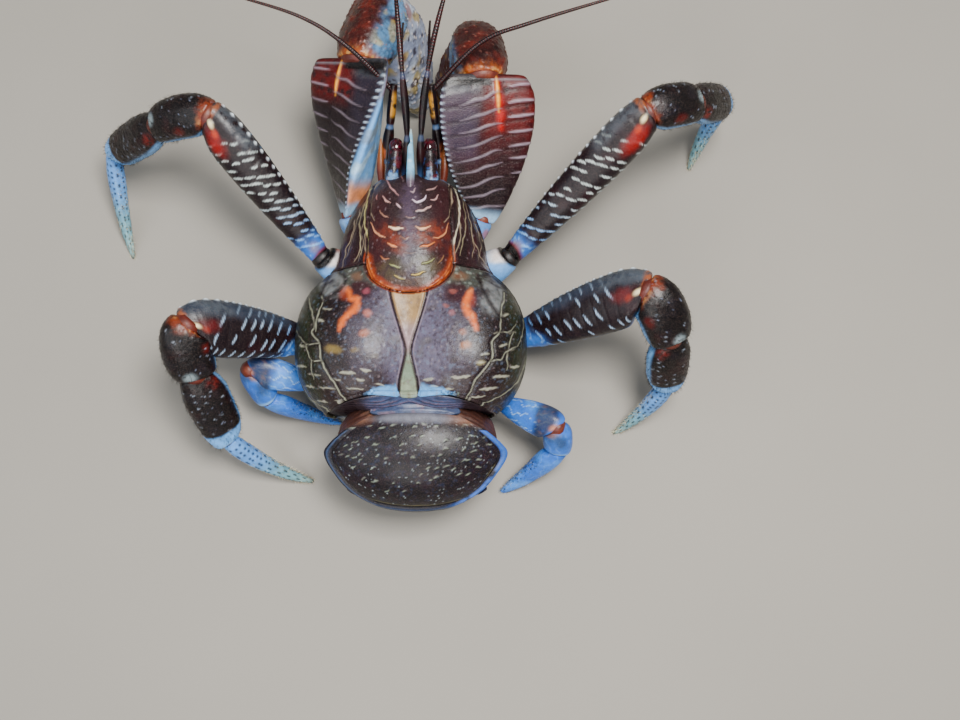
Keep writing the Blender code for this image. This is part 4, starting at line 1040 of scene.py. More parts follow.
def make_trunk():
    """The shell plates of the trunk and its underside."""
    rings = trunk_rings()
    count, sides = rings.shape[:2]
    normals = grid_normals(rings)
    flat, ways = rings.reshape(-1, 3), normals.reshape(-1, 3)
    if (ways * (flat - vec(TRUNK_MIDDLE))).sum() < 0:
        ways = -ways
    colour, rough, lift = carapace_paint(flat, ways)
    points = flat + ways * lift[:, None]
    grid = points.reshape(count, sides, 3)
    last = grid[-1]
    inward = unit(vec((0, last[:, 1].mean(), 40)) - last) * vec((1, 0, 1))
    rolled = []
    for turn in np.linspace(0, np.pi, 9)[1:]:
        rolled.append(
            last + vec((0, 1, 0)) * RIM_ROLL * math.sin(turn) + inward * RIM_ROLL * (1 - math.cos(turn))
        )
    grid = np.concatenate([grid, np.stack(rolled)])
    extra = len(rolled)
    colour = np.concatenate([colour, np.tile(colour.reshape(count, sides, 3)[-1], (extra, 1))])
    rough = np.concatenate([rough, np.tile(rough.reshape(count, sides)[-1], extra)])
    points = grid.reshape(-1, 3)
    ways = grid_normals(grid).reshape(-1, 3)
    if (ways[: count * sides] * (flat - vec(TRUNK_MIDDLE))).sum() < 0:
        ways = -ways
    faces = grid_faces(count + extra, sides)
    at, second, third = faces[PROBE_FACE, :3]
    if np.dot(np.cross(points[second] - points[at], points[third] - points[at]), ways[at]) < 0:
        faces = faces[:, ::-1]
    place = np.concatenate([flat, np.tile(flat.reshape(count, sides, 3)[-1], (extra, 1))])
    piece_of = plate_of(place[faces].mean(1))
    for index, name in enumerate(TRUNK_PIECES):
        chosen = faces[piece_of == index]
        used, solid, shell = thick_part(points, ways, chosen, SHELL_THICKNESS)
        obj = build(
            f"{name}_plate", solid, shell, SHELL, np.tile(colour[used], (2, 1)), np.tile(rough[used], 2)
        )
        placed(obj, name, slot="dark_shell")


make_trunk()


# A ring that leans where a limb bends is made this much narrower, as a power of the cosine of its lean.
JOINT_NARROWING = 0.75
GAP = 0.3

# Sides of the rounded polygons that limbs have in section: direction in degrees and distance.
# 0 is the face that the back view shows, 90 the crest of the limb and 270 its inner edge.
OVAL = ((0, 1), (90, 1), (180, 1), (270, 1))
WEDGED = ((0, 0.66), (128, 0.78), (228, 0.8))

# Shapes of the limb articles along their length: station, half thickness and half height, as shares of the
# article's own.
BASIS_FORM = ((0, 0.8, 0.8), (0.4, 1.0, 1.0), (0.75, 0.95, 0.95), (1, 0.72, 0.72))
MERUS_FORM = (
    (0, 0.5, 0.46), (0.2, 0.74, 0.66), (0.5, 0.95, 0.9), (0.78, 1.0, 1.0), (0.93, 0.97, 0.97), (1, 0.88, 0.88)
)
CARPUS_FORM = ((0, 0.78, 0.78), (0.2, 0.95, 0.95), (0.55, 1.0, 1.0), (0.85, 0.94, 0.94), (1, 0.84, 0.84))
PROPODUS_FORM = ((0, 0.72, 0.72), (0.2, 0.96, 0.96), (0.5, 1.0, 1.0), (0.85, 0.86, 0.84), (1, 0.62, 0.6))
DACTYL_FORM = ((0, 0.9, 0.9), (0.12, 1.0, 1.0), (0.5, 0.82, 0.82), (0.82, 0.5, 0.5), (1, 0.2, 0.2))
CLAW_MERUS_FORM = (
    (0, 0.4, 0.24), (0.2, 0.66, 0.56), (0.5, 0.9, 0.88), (0.76, 1.0, 1.0), (0.94, 0.92, 0.95), (1, 0.84, 0.86)
)

# Walking legs: the joints from the trunk to the tip, the way the crest of the merus faces, and for each
# article after the basis its half thickness and half height.
WALKING_LEGS = {
    "leg_2_left": (
        ((20, -36, 29), (44, -49, 39), (91, -103, 81), (118, -105, 66), (150, -105, 30), (146, -61, 0)),
        (-0.7, -0.6, 0.45),
        ((7.6, 10.2), (8.0, 10.0), (7.0, 9.4), (4.0, 4.4)),
    ),
    "leg_2_right": (
        (
            (-20, -36, 29), (-46, -49, 39), (-108, -104, 83), (-131, -113, 72), (-152, -128, 40),
            (-141, -109, 0)
        ),
        (0.6, -0.75, 0.4),
        ((7.6, 10.2), (8.0, 10.0), (7.0, 9.4), (4.0, 4.4)),
    ),
    "leg_3_left": (
        ((22, -12, 27), (49, -10, 30), (98, -7, 74), (97, 12, 58), (87, 38, 28), (51, 54, 0)),
        (0.1, -1.0, 0.35),
        ((7.8, 13.0), (8.4, 11.4), (7.0, 10.4), (4.0, 4.4)),
    ),
    "leg_3_right": (
        ((-22, -12, 27), (-49, -12, 30), (-106, -22, 76), (-118, -4, 61), (-120, 13, 33), (-99, 30, 0)),
        (-0.1, -1.0, 0.35),
        ((7.8, 13.0), (8.4, 11.4), (7.0, 10.0), (4.0, 4.4)),
    ),
}
BASIS_HALF = 8.4
CARPUS_SWELL = 5.0
DACTYL_BOW = 5.0
# How far the shells of tips reach past the last joint.
TIP_REACH = 1.2

# The small fourth legs end in a little pincer: joints, crest, and half sizes of merus, carpus and hand.
SMALL_LEGS = {
    "leg_4_left": (((24, 10, 26), (48, 10, 27), (77, 5, 35), (70, 17, 21), (38, 25, 0)), (0.2, -1.0, 0.5)),
    "leg_4_right": (
        ((-22, 15, 26), (-42, 20, 27), (-68, 33, 37), (-69, 42, 25), (-43, 59, 0)), (-0.6, -0.8, 0.5)
    ),
}
SMALL_LEG_HALVES = ((5.6, 8.0), (5.6, 7.0), (4.4, 5.6))

# Claws: joints from the trunk to the fingertips, the way the crest of the merus faces and how far it twists
# towards the middle, the way the movable finger faces, and a scale, the left claw being the larger.
CLAWS = {
    "claw_left": (
        ((15, -55, 29), (31, -70, 39), (24, -134, 71), (14, -170, 61), (-2, -140, 0)), (-0.6, 0, 0.8), 40,
        (-0.25, -1, 0), 1.0
    ),
    "claw_right": (
        ((-15, -55, 29), (-33, -68, 39), (-33, -126, 71), (-29, -153, 57), (-14, -122, 0)), (0.97, 0, 0.25),
        0, (0.25, -1, 0), 0.93
    ),
}
CLAW_BASIS_HALF = 8.5
CLAW_MERUS_HALF = (13.5, 16.8)
CLAW_CARPUS_HALF = (13.5, 14.2)
PALM_HALF_THICKNESS = 10.5
# The palm with its fixed finger, seen from the side: station along the hand, lower edge and upper edge.
PALM_OUTLINE = (
    (0, -8.5, 8.5), (0.1, -12.5, 13), (0.28, -16.5, 18), (0.45, -17, 18.5), (0.55, -15.8, 16.8),
    (0.585, -15.4, 0.8),
    (0.7, -12.6, 0.2), (0.82, -9.4, -0.3), (0.92, -5.8, -0.4), (1, -2.0, 0.2),
)
PALM_THICKNESS = ((0, 0.62), (0.15, 0.9), (0.35, 1.0), (0.55, 0.84), (0.75, 0.52), (0.9, 0.34), (1, 0.14))
FINGER_OUTLINE = (
    (0, 2.0, 16.2), (0.25, 1.6, 15.6), (0.5, 1.2, 12.6), (0.75, 0.7, 8.0), (0.92, 0.5, 4.0), (1, 0.6, 2.2)
)
FINGER_THICKNESS = ((0, 0.76), (0.3, 0.66), (0.6, 0.48), (0.85, 0.3), (1, 0.14))
FINGER_START = 0.6
FINGER_END = 0.985
PALM_SIDES, PALM_ROWS = 130, 120
# More rows where the movable finger parts from the palm, and at the wrist.
PALM_MORE_ROWS = (np.linspace(0.54, 0.6, 14), (0.004, 0.012))
FINGER_SIDES, FINGER_ROWS = 96, 80
# Teeth: the edge they stand on, first and last station, and how many.
PALM_TEETH, FINGER_TEETH = (1, 0.62, 0.97, 7), (-1, 0.06, 0.94, 7)
LIMB_SPACING = 0.62
EDGE_ROUND = 1.3


def transported(facing, before, after):
    """The facing of one article carried over the bend to the next."""
    axis = np.cross(unit(before), unit(after))
    sine, cosine = np.linalg.norm(axis), float(unit(before) @ unit(after))
    if sine < 1e-6:
        return facing
    axis = axis / sine
    turned = facing * cosine + np.cross(axis, facing) * sine + axis * (axis @ facing) * (1 - cosine)
    return unit(turned)


def joint_faces(joints):
    """The ways of the articles, and the way the face at each joint looks."""
    joints = [vec(j) for j in joints]
    ways = [unit(b - a) for a, b in zip(joints, joints[1:])]
    between = [unit(a + b) for a, b in zip(ways, ways[1:])]
    return ways, [ways[0], *between, ways[-1]]


def facings_along(joints, crest):
    """The crest's way for each article, carried along the limb from the merus."""
    ways, _ = joint_faces(joints)
    merus = 1
    facings = {merus: unit(vec(crest) - ways[merus] * (vec(crest) @ ways[merus]))}
    facings[0] = facings[merus]
    for k in range(merus + 1, len(ways)):
        facings[k] = transported(facings[k - 1], ways[k - 1], ways[k])
    return facings


def limb_rings(start, end, facing, halves, form, side, steps, angles, **more):
    """Rings of one article of a limb, from joint to joint, rounded in at both of its ends."""
    start, end = vec(start), vec(end)
    bow = vec(more.get("bow", (0, 0, 0)))
    middle = (start + end) / 2 + bow
    chord = unit(end - start)
    first, last = unit(more.get("first", chord)), unit(more.get("last", chord))
    zone = more.get("zone", 0.4)
    twist = math.radians(more.get("twist", 0))
    t = np.asarray(steps, float)[:, None]
    length = np.linalg.norm(end - start)
    centre = (1 - t) ** 2 * start + 2 * t * (1 - t) * middle + t**2 * end
    plain = unit(2 * (1 - t) * (middle - start) + 2 * t * (end - middle))
    near_start, near_end = np.maximum(0, 1 - t / zone) ** 2, np.maximum(0, 1 - (1 - t) / zone) ** 2
    along = unit(plain + near_start * (first - unit(middle - start)) + near_end * (last - unit(end - middle)))
    slant = np.maximum((along * plain).sum(-1, keepdims=True), 0.2) ** JOINT_NARROWING
    out = unit(np.cross(facing, along)) * side
    crest = unit(np.cross(along, out)) * side
    turn = twist * (t - 0.5)
    out, crest = out * np.cos(turn) - crest * np.sin(turn), crest * np.cos(turn) + out * np.sin(turn)
    half = through(form, t[:, 0]) * vec(halves) * slant
    rounding = more.get("rounding", (EDGE_ROUND, EDGE_ROUND))
    for distance, reach in ((t * length, rounding[0]), ((1 - t) * length, rounding[1])):
        inside = np.maximum(reach - distance, 0)
        half = half - (reach - np.sqrt(np.maximum(reach**2 - inside**2, 0)))
    half = np.maximum(half, 0.05)
    radius = rounded_section(angles, more.get("flats", OVAL), more.get("sharpness", 2.4))
    across = (radius * np.cos(angles))[None, :, None] * half[:, :1, None] * out[:, None]
    upward = (radius * np.sin(angles))[None, :, None] * half[:, 1:, None] * crest[:, None]
    return centre[:, None] + across + upward


def limb_steps(length, spacing):
    """Stations along an article, closer together at its ends."""
    close = np.array((0, 0.12, 0.35, 0.7, 1.15)) / length
    inner = np.linspace(1.7, length - 1.7, max(6, int((length - 3.4) / spacing))) / length
    return np.concatenate([close, inner, 1 - close[::-1]])


def painted_limb(name, node, rings, t, angles, length, painter, material, slot, **facts):
    """A limb's article from its rings, with paint and relief from the painter."""
    ways = grid_normals(rings)
    if ((rings - rings.mean(1, keepdims=True)) * ways).sum() < 0:
        ways = -ways
    turn = (angles + np.pi) % (2 * np.pi) - np.pi
    reach = np.linalg.norm(rings - rings.mean(1, keepdims=True), axis=-1).mean(1)
    local = np.stack([np.repeat((t * length)[:, None], len(angles), 1), turn[None] * reach[:, None]], -1)
    flat = rings.reshape(-1, 3)
    where = SimpleNamespace(
        points=flat, u=local[..., 0].reshape(-1), v=local[..., 1].reshape(-1), length=length,
        t=np.repeat(t, len(angles)), turn=np.tile(turn, len(t)), size=float(reach.max()),
        normals=ways.reshape(-1, 3), local=local.reshape(-1, 2), **facts,
    )
    colour, rough, lift = painter(where)
    ends = smooth(0, 1.2, np.minimum(where.u, length - where.u))
    moved = (flat + where.normals * (lift * ends)[:, None]).reshape(rings.shape)
    moved[..., 2] = np.maximum(moved[..., 2], 0)
    points, faces, colours, roughs = capped(
        moved, colour.reshape(rings.shape), rough.reshape(rings.shape[:2])
    )
    obj = build(name, points, faces, material, colours, roughs)
    volume = np.cross(moved[0], np.roll(moved[0], -1, 0)).sum(0) @ (moved[1].mean(0) - moved[0].mean(0))
    if volume > 0:
        obj.data.flip_normals()
    placed(obj, node, slot=slot)
    return moved, ways


# The skin of each article by limb and article: its grid of points and their outward ways.
SKINS = {}
SEED_STEP = 20


def article(limb, index, part, halves, form, painter, slot, facts=None, **more):
    """One painted article of a limb between two joints."""
    joints = more.pop("joints", limb.joints)
    _, faces = joint_faces(joints)
    start = vec(joints[index]) + faces[index] * GAP / 2
    end = vec(joints[index + 1]) - faces[index + 1] * GAP / 2
    shape = {"first": faces[index], "last": faces[index + 1], **more}
    material = shape.pop("material", LIMB)
    spacing = shape.pop("spacing", LIMB_SPACING)
    length = np.linalg.norm(end - start)
    sides = int(2 * np.pi * (halves[0] + halves[1]) / 2 / spacing) // 2 * 2
    angles = np.linspace(0, 2 * np.pi, sides, endpoint=False)
    steps = limb_steps(length, spacing)
    rings = limb_rings(start, end, limb.facing[index], halves, form, limb.side, steps, angles, **shape)
    node = f"{limb.name}_{part}"
    facts = {"seed": limb.seed + SEED_STEP * index, **(facts or {})}
    SKINS[limb.name, part] = painted_limb(
        f"{node}_shell", node, rings, steps, angles, length, painter, material, slot, **facts
    )


def limb_of(name, side, joints, crest, seed):
    """What the articles of one limb share."""
    return SimpleNamespace(
        name=name, side=SIDES[side], joints=joints, facing=facings_along(joints, crest), seed=seed
    )


def sharpened(joints, count):
    """The joints with the last one pushed out a little, so that the tip comes to a point there."""
    ways, _ = joint_faces(joints)
    return [*joints[:count], tuple(vec(joints[count]) + ways[count - 1] * TIP_REACH)]


def dash_field(
    where, seed, rows, lanes, half, width, slant, start=0.06, end=0.95, soft=0.5, jitter=0.5, keep=0.9
):
    """Short raised dashes across a limb: rows along it, and lanes round it as angles from its shown face."""
    rng = np.random.default_rng(seed)
    mask = np.zeros(len(where.u))
    for row in range(rows):
        along = where.length * (start + (end - start) * (row + 0.5) / rows)
        for lane in lanes:
            shift, stretch = rng.uniform(-1, 1), rng.uniform(0.7, 1.25)
            bend, drawn = rng.uniform(-0.5, 0.5), rng.random()
            if drawn > keep:
                continue
            u = along + shift * jitter - slant * math.radians(lane) * where.size
            v = math.radians(lane + shift * 4) * where.size * 0.9
            reach = half * stretch
            line = ((u + slant * reach, v - reach), (u + bend, v), (u - slant * reach, v + reach))
            mask = np.maximum(mask, stroke(where.local, line, width, soft, 0.7))
    return mask


def plain_relief(where, seed, strength=1.0):
    """Colour-free relief and roughness that every shell has, with its noise."""
    points = where.points
    wander, fine = noise(points, 7, seed, 3), noise(points, 1.8, seed + 5, 2)
    lift = strength * (0.12 * wander + 0.05 * fine)
    return wander, fine, lift, np.full(len(points), 0.36) + 0.1 * fine


def start_colour(where, code):
    """One colour for every point of a limb."""
    return plain(code, len(where.u))


def mark_on(where, along, around, radii, soft=0.6):
    """A spot on a limb: its place as shares of the length and of the half size, and its radii."""
    return spot(where.local, (where.length * along, around * where.size), radii, soft)


# Folds and beads of a walking leg's merus.
MERUS_FOLDS, MERUS_BEADS = 12, 17


def leg_merus_paint(where):
    """Dark, with rows of pale dashes, a blue root and red, grey and orange marks at the far end."""
    wander, fine, lift, rough = plain_relief(where, where.seed)
    t, turn, third = where.t, where.turn, where.third
    colour = washed(start_colour(where, "#23151f"), "#3f1c28", 0.6 * smooth(0.0, 0.6, wander))
    if third:
        colour = washed(
            colour, "#454e5c",
            0.9 * smooth(0.15, 0.75, turn + 0.3 * wander) * smooth(2.6, 2.0, turn) * smooth(0.12, 0.3, t)
        )
    grey = smooth(0.66, 0.76, t + 0.04 * wander) * smooth(0.25, 0.7, turn) * smooth(2.4, 1.9, turn)
    colour = washed(colour, "#5e646a", 0.75 * grey * smooth(-0.9, 0.1, wander + fine))
    inner = smooth(-1.3, -1.9, turn) + smooth(2.2, 2.7, turn)
    colour = washed(colour, "#3f74b4", 0.75 * inner * smooth(-0.5, 0.2, wander))
    root = smooth(0.2, 0.07, t + 0.05 * wander - (0.12 * smooth(0.4, -0.8, turn) if third else 0))
    colour = overlaid(
        colour,
        ("#4a86cf", root),
        ("#a9cdec", 0.6 * root * smooth(0.15, 0.5, fine)),
        ("#b98a5a", 0.45 * root * spot(where.local, (where.length * 0.08, 1.5), (3, 2.4), 0.6)),
    )
    lanes = (-72, -40, -8, 22, 50) if not third else (-62, -22, 18, 52)
    rows, half, width = (14, 2.0, 0.95) if not third else (10, 2.4, 0.8)
    dashes = dash_field(
        where, where.seed + 1, rows, lanes, half, width, 0.5, 0.08, 0.86, jitter=0.8, keep=0.78
    )
    if third:
        dashes = dashes * (1 - 0.5 * smooth(0.3, 0.8, turn))
    dashes = dashes * (1 - 0.75 * grey)
    small = dash_field(where, where.seed + 2, 9, (100, 135, 170, -105, -140), 1.6, 0.8, 0.3, 0.1, 0.9)
    shade = washed(
        start_colour(where, "#b4c8dc" if third else "#cdd5d2"), "#7fb4ec", smooth(0.5, 0.12, t) * 0.9
    )
    colour = colour * (1 - 0.92 * dashes[:, None]) + shade * 0.92 * dashes[:, None]
    colour = washed(colour, "#8fb4d4", 0.7 * small)
    lift += 0.32 * dashes + 0.2 * small
    waves = np.cos(where.u / where.length * 2 * np.pi * MERUS_FOLDS)
    lift -= 0.12 * smooth(0.7, 1.0, waves) * smooth(2.0, 1.2, np.abs(turn))
    crest = np.zeros(len(t))
    for share in np.arange(MERUS_BEADS) / (MERUS_BEADS - 1):
        place = vec((where.length * (0.1 + 0.86 * share), math.radians(80) * where.size * 0.9))
        crest = np.maximum(crest, spot(where.local, place, (0.85, 1.05), 0.5))
    lift += 0.75 * crest
    colour = washed(colour, "#e6eef2", 0.95 * crest)
    red = spot(
        where.local + np.stack([wander, fine], -1),
        (where.length * 0.87, (0.05 if third else -0.4) * where.size),
        (where.length * (0.06 if third else 0.085), where.size * (0.24 if third else 0.36)), 0.6
    )
    colour = overlaid(
        colour,
        ("#6a1018" if third else "#8c1208", (0.8 if third else 0.95) * red),
        ("#c8521c", (0.3 if third else 0.6) * mark_on(where, 0.91, -0.12, (1.8, 1.4))),
    )
    knob = mark_on(where, 0.955, 0.0, (1.7, 1.2))
    colour = washed(colour, "#f0e0b8", 0.95 * knob)
    lift += 0.7 * knob
    stripe = smooth(0.955, 0.97, t) * smooth(0.1, 0.35, turn) * smooth(2.0, 1.6, turn)
    colour = washed(colour, "#a8602c", 0.7 * stripe * smooth(-0.6, 0.2, fine))
    rim = smooth(where.length - 2.6, where.length - 1.6, where.u)
    lift += 0.25 * rim
    colour = washed(colour, "#24181c", 0.5 * rim * smooth(-0.2, -0.6, turn))
    rough = rough + 0.12 * dashes - 0.08 * grey
    if where.eye:
        place, radii, lean = where.eye
        near = (where.normals @ -VIEW_AHEAD > 0) * smooth(0.24, 0.18, t)
        pixels = seen_at(where.points)
        oval = near * spot(pixels, place, radii, 0.2, lean)
        round_it = near * spot(pixels, place, vec(radii) + 3, 0.25, lean)
        colour = overlaid(colour, ("#7c2418", 0.9 * round_it), ("#08070a", oval))
        rough = rough - 0.26 * oval
    return colour, rough, lift


def leg_far_paint(where):
    """Carpus and propodus: dark and rough, with specks, a pale-blue inner side and warm or blue ends."""
    wander, fine, lift, rough = plain_relief(where, where.seed)
    t, turn, points = where.t, where.turn, where.points
    propodus = where.propodus
    colour = overlaid(
        start_colour(where, "#130d13"),
        ("#3a1219", 0.6 * smooth(0.0, 0.6, wander)),
        ("#2a2430", 0.5 * smooth(0.0, 0.6, noise(points, 4, where.seed + 9))),
    )
    if not propodus:
        warm = smooth(
            0.15, 0.03, t + 0.09 * wander + 0.06 * fine
        ) * smooth(-1.2, -0.4, turn) * smooth(2.6, 1.8, turn)
        colour = overlaid(
            colour,
            ("#8f4520", 0.8 * warm),
            ("#c9a06c", 0.5 * warm * smooth(0.1, 0.5, fine)),
            ("#6c1812", 0.7 * mark_on(where, 0.45, -0.75, (3.2, 2.2))),
        )
        pale = mark_on(where, 0.93, 0.2, (2.2, 2.6))
        colour = washed(colour, "#a9b8bc", 0.7 * pale)
    else:
        red = mark_on(where, 0.1, -0.6, (3.0, 3.0))
        colour = washed(colour, "#7a1c10", 0.75 * red * smooth(-0.6, 0.2, fine))
    grain, own = pebbles(points, 1.35, where.seed + 3)
    knobs = smooth(0.42, 0.75, grain) * (own > 0.25)
    lift += 0.22 * knobs
    white = (own > 0.82) * smooth(0.72, 0.86, grain)
    colour = washed(colour, "#98a0b4", 0.6 * white)
    dark = (own < 0.5) * smooth(0.5, 0.7, grain)
    colour = washed(colour, "#0e090c", 0.6 * dark)
    lanes = (-70, -45, -20, 5, 30, 55, 80)
    dashes = dash_field(
        where, where.seed + 4, 9, lanes, 0.7, 0.4, 0.5, 0.1, 0.85, keep=0.4 if propodus else 0.15
    )
    colour = washed(colour, "#aeb8c4", 0.65 * dashes)
    lift += 0.2 * dashes
    inner = smooth(-1.05, -1.4, turn) * smooth(-2.5, -2.1, turn)
    colour = washed(colour, "#7fb0dc", 0.95 * inner * smooth(-0.7, -0.2, wander))
    under = smooth(2.3, 2.6, np.abs(turn))
    colour = washed(colour, "#4b6f98", 0.6 * under)
    if propodus:
        rim = smooth(0.72, 0.77, t + 0.03 * wander - 0.06 * np.cos(turn))
        colour = overlaid(colour, ("#7db6ea", 0.97 * rim), ("#c6e2f4", 0.5 * rim * smooth(0.95, 0.99, t)))
        lift += 0.25 * smooth(0.86, 0.9, t)
        rough -= 0.1 * rim
    return colour, rough, lift


def dactyl_paint(where):
    """Light blue to grey-green, with rows of black points."""
    wander, _, lift, rough = plain_relief(where, where.seed, 0.6)
    t, turn = where.t, where.turn
    colour = overlaid(
        start_colour(where, "#6fa3da"),
        ("#8fc4e6", 0.6 * smooth(0.0, 0.5, wander)),
        ("#84aeb0", 0.85 * smooth(0.25, 0.7, t)),
        ("#b4c4b4", 0.5 * smooth(0.7, 1.0, t)),
        ("#3a3026", 0.8 * smooth(0.93, 1.0, t)),
    )
    rows = np.zeros(len(t))
    for lane in range(0, 360, 36):
        angle = math.radians(lane) - (2 * np.pi if lane > 180 else 0)
        for k in range(16):
            u = where.length * (0.08 + 0.055 * k + 0.02 * math.sin(k * 3 + lane))
            rows = np.maximum(
                rows, spot(np.stack([where.u, turn * 3.4], -1), (u, angle * 3.4), (0.62, 0.5), 0.6)
            )
    colour = washed(colour, "#161012", 0.85 * rows)
    lift += 0.18 * rows
    return colour, rough + 0.05, lift


def small_leg_paint(where):
    """Bright blue with white wavy lines, and dark and orange marks at the joint."""
    wander, fine, lift, rough = plain_relief(where, where.seed, 0.7)
    t, turn, points = where.t, where.turn, where.points
    colour = washed(start_colour(where, "#3f7fd0"), "#6fb0ee", 0.55 * smooth(-0.1, 0.5, wander))
    lines = np.zeros(len(t))
    for k in range(7):
        wave = 1.0 * np.sin(where.u * 0.55 + k * 1.9 + 2.2 * wander) + 0.5 * np.sin(where.u * 1.3 + k * 4)
        lines = np.maximum(
            lines,
            smooth(0.34, 0.12, np.abs(where.v - (k - 3) * 2.3 - wave))
            * smooth(-0.7, -0.2, wander + np.sin(k * 2.7))
        )
    lines *= smooth(0.95, 0.8, t) * (1.0 if where.kind == "merus" else 0.25)
    colour = washed(colour, "#b8d8f2", 0.7 * lines)
    lift += 0.06 * lines
    if where.kind == "merus":
        blot = smooth(0.6, 0.75, t + 0.08 * wander) * smooth(0.97, 0.9, t) * smooth(
            -0.4, 0.1, wander + 0.5 * np.cos(turn)
        )
        colour = overlaid(colour, ("#2c2e42", 0.85 * blot), ("#8a6a58", 0.4 * blot * smooth(0.1, 0.5, fine)))
        tip = spot(where.local, (where.length * 0.955, -0.2), (1.4, 1.9), 0.6)
        colour = washed(colour, "#c98a58", 0.8 * tip)
        lift += 0.35 * tip
    elif where.kind == "carpus":
        colour = overlaid(
            colour,
            ("#2c3550", 0.7 * smooth(-0.2, 0.4, wander) * smooth(0.9, 0.5, t)),
            ("#a07048", 0.6 * smooth(0.2, 0.08, t + 0.06 * fine) * smooth(0.5, -0.5, turn)),
            ("#9cc8ee", 0.8 * smooth(0.86, 0.92, t)),
        )
    else:
        grain, own = pebbles(points, 1.2, where.seed + 2)
        dots = (own > 0.4) * smooth(0.5, 0.7, grain) * smooth(0.1, 0.4, t) * smooth(0.3, 0.9, np.abs(turn))
        colour = washed(colour, "#17202e", 0.85 * dots)
        lift += 0.14 * dots
    return colour, rough, lift


def basis_paint(where):
    """The ball at a leg's root: blue below, cream and orange round a glossy black oval."""
    wander, fine, lift, rough = plain_relief(where, where.seed, 0.8)
    points = where.points
    colour = overlaid(
        start_colour(where, "#6f9fd2"),
        ("#b9d2e4", 0.6 * smooth(0.0, 0.5, wander)),
        ("#c0603a", 0.55 * smooth(0.15, 0.55, noise(points, 5, where.seed + 4, 2))),
    )
    if where.eye:
        place, radii, turn = where.eye
        pixels = seen_at(points)
        seen = where.normals @ -VIEW_AHEAD > 0
        away = pixels - vec(place)
        cream = seen * spot(pixels, vec(place) + (where.side * 4, 4), (radii[0] + 7, radii[1] + 6), 0.5, turn)
        colour = overlaid(
            colour,
            ("#ece2dc", 0.9 * cream),
            ("#d06a3a", 0.85 * seen * smooth(-3, -10, away[:, 1]) * smooth(-0.6, 0.2, fine)),
            ("#5a1c20", 0.85 * seen * smooth(5, 10, -where.side * away[:, 0]) * smooth(-8, 0, away[:, 1])),
            ("#74b0e8", 0.9 * seen * smooth(7, 12, away[:, 1])),
        )
        oval = seen * spot(pixels, place, radii, 0.22, turn)
        colour = washed(colour, "#08070a", oval)
        rough = rough - 0.26 * oval
        lift += 0.3 * oval
    return colour, rough, lift


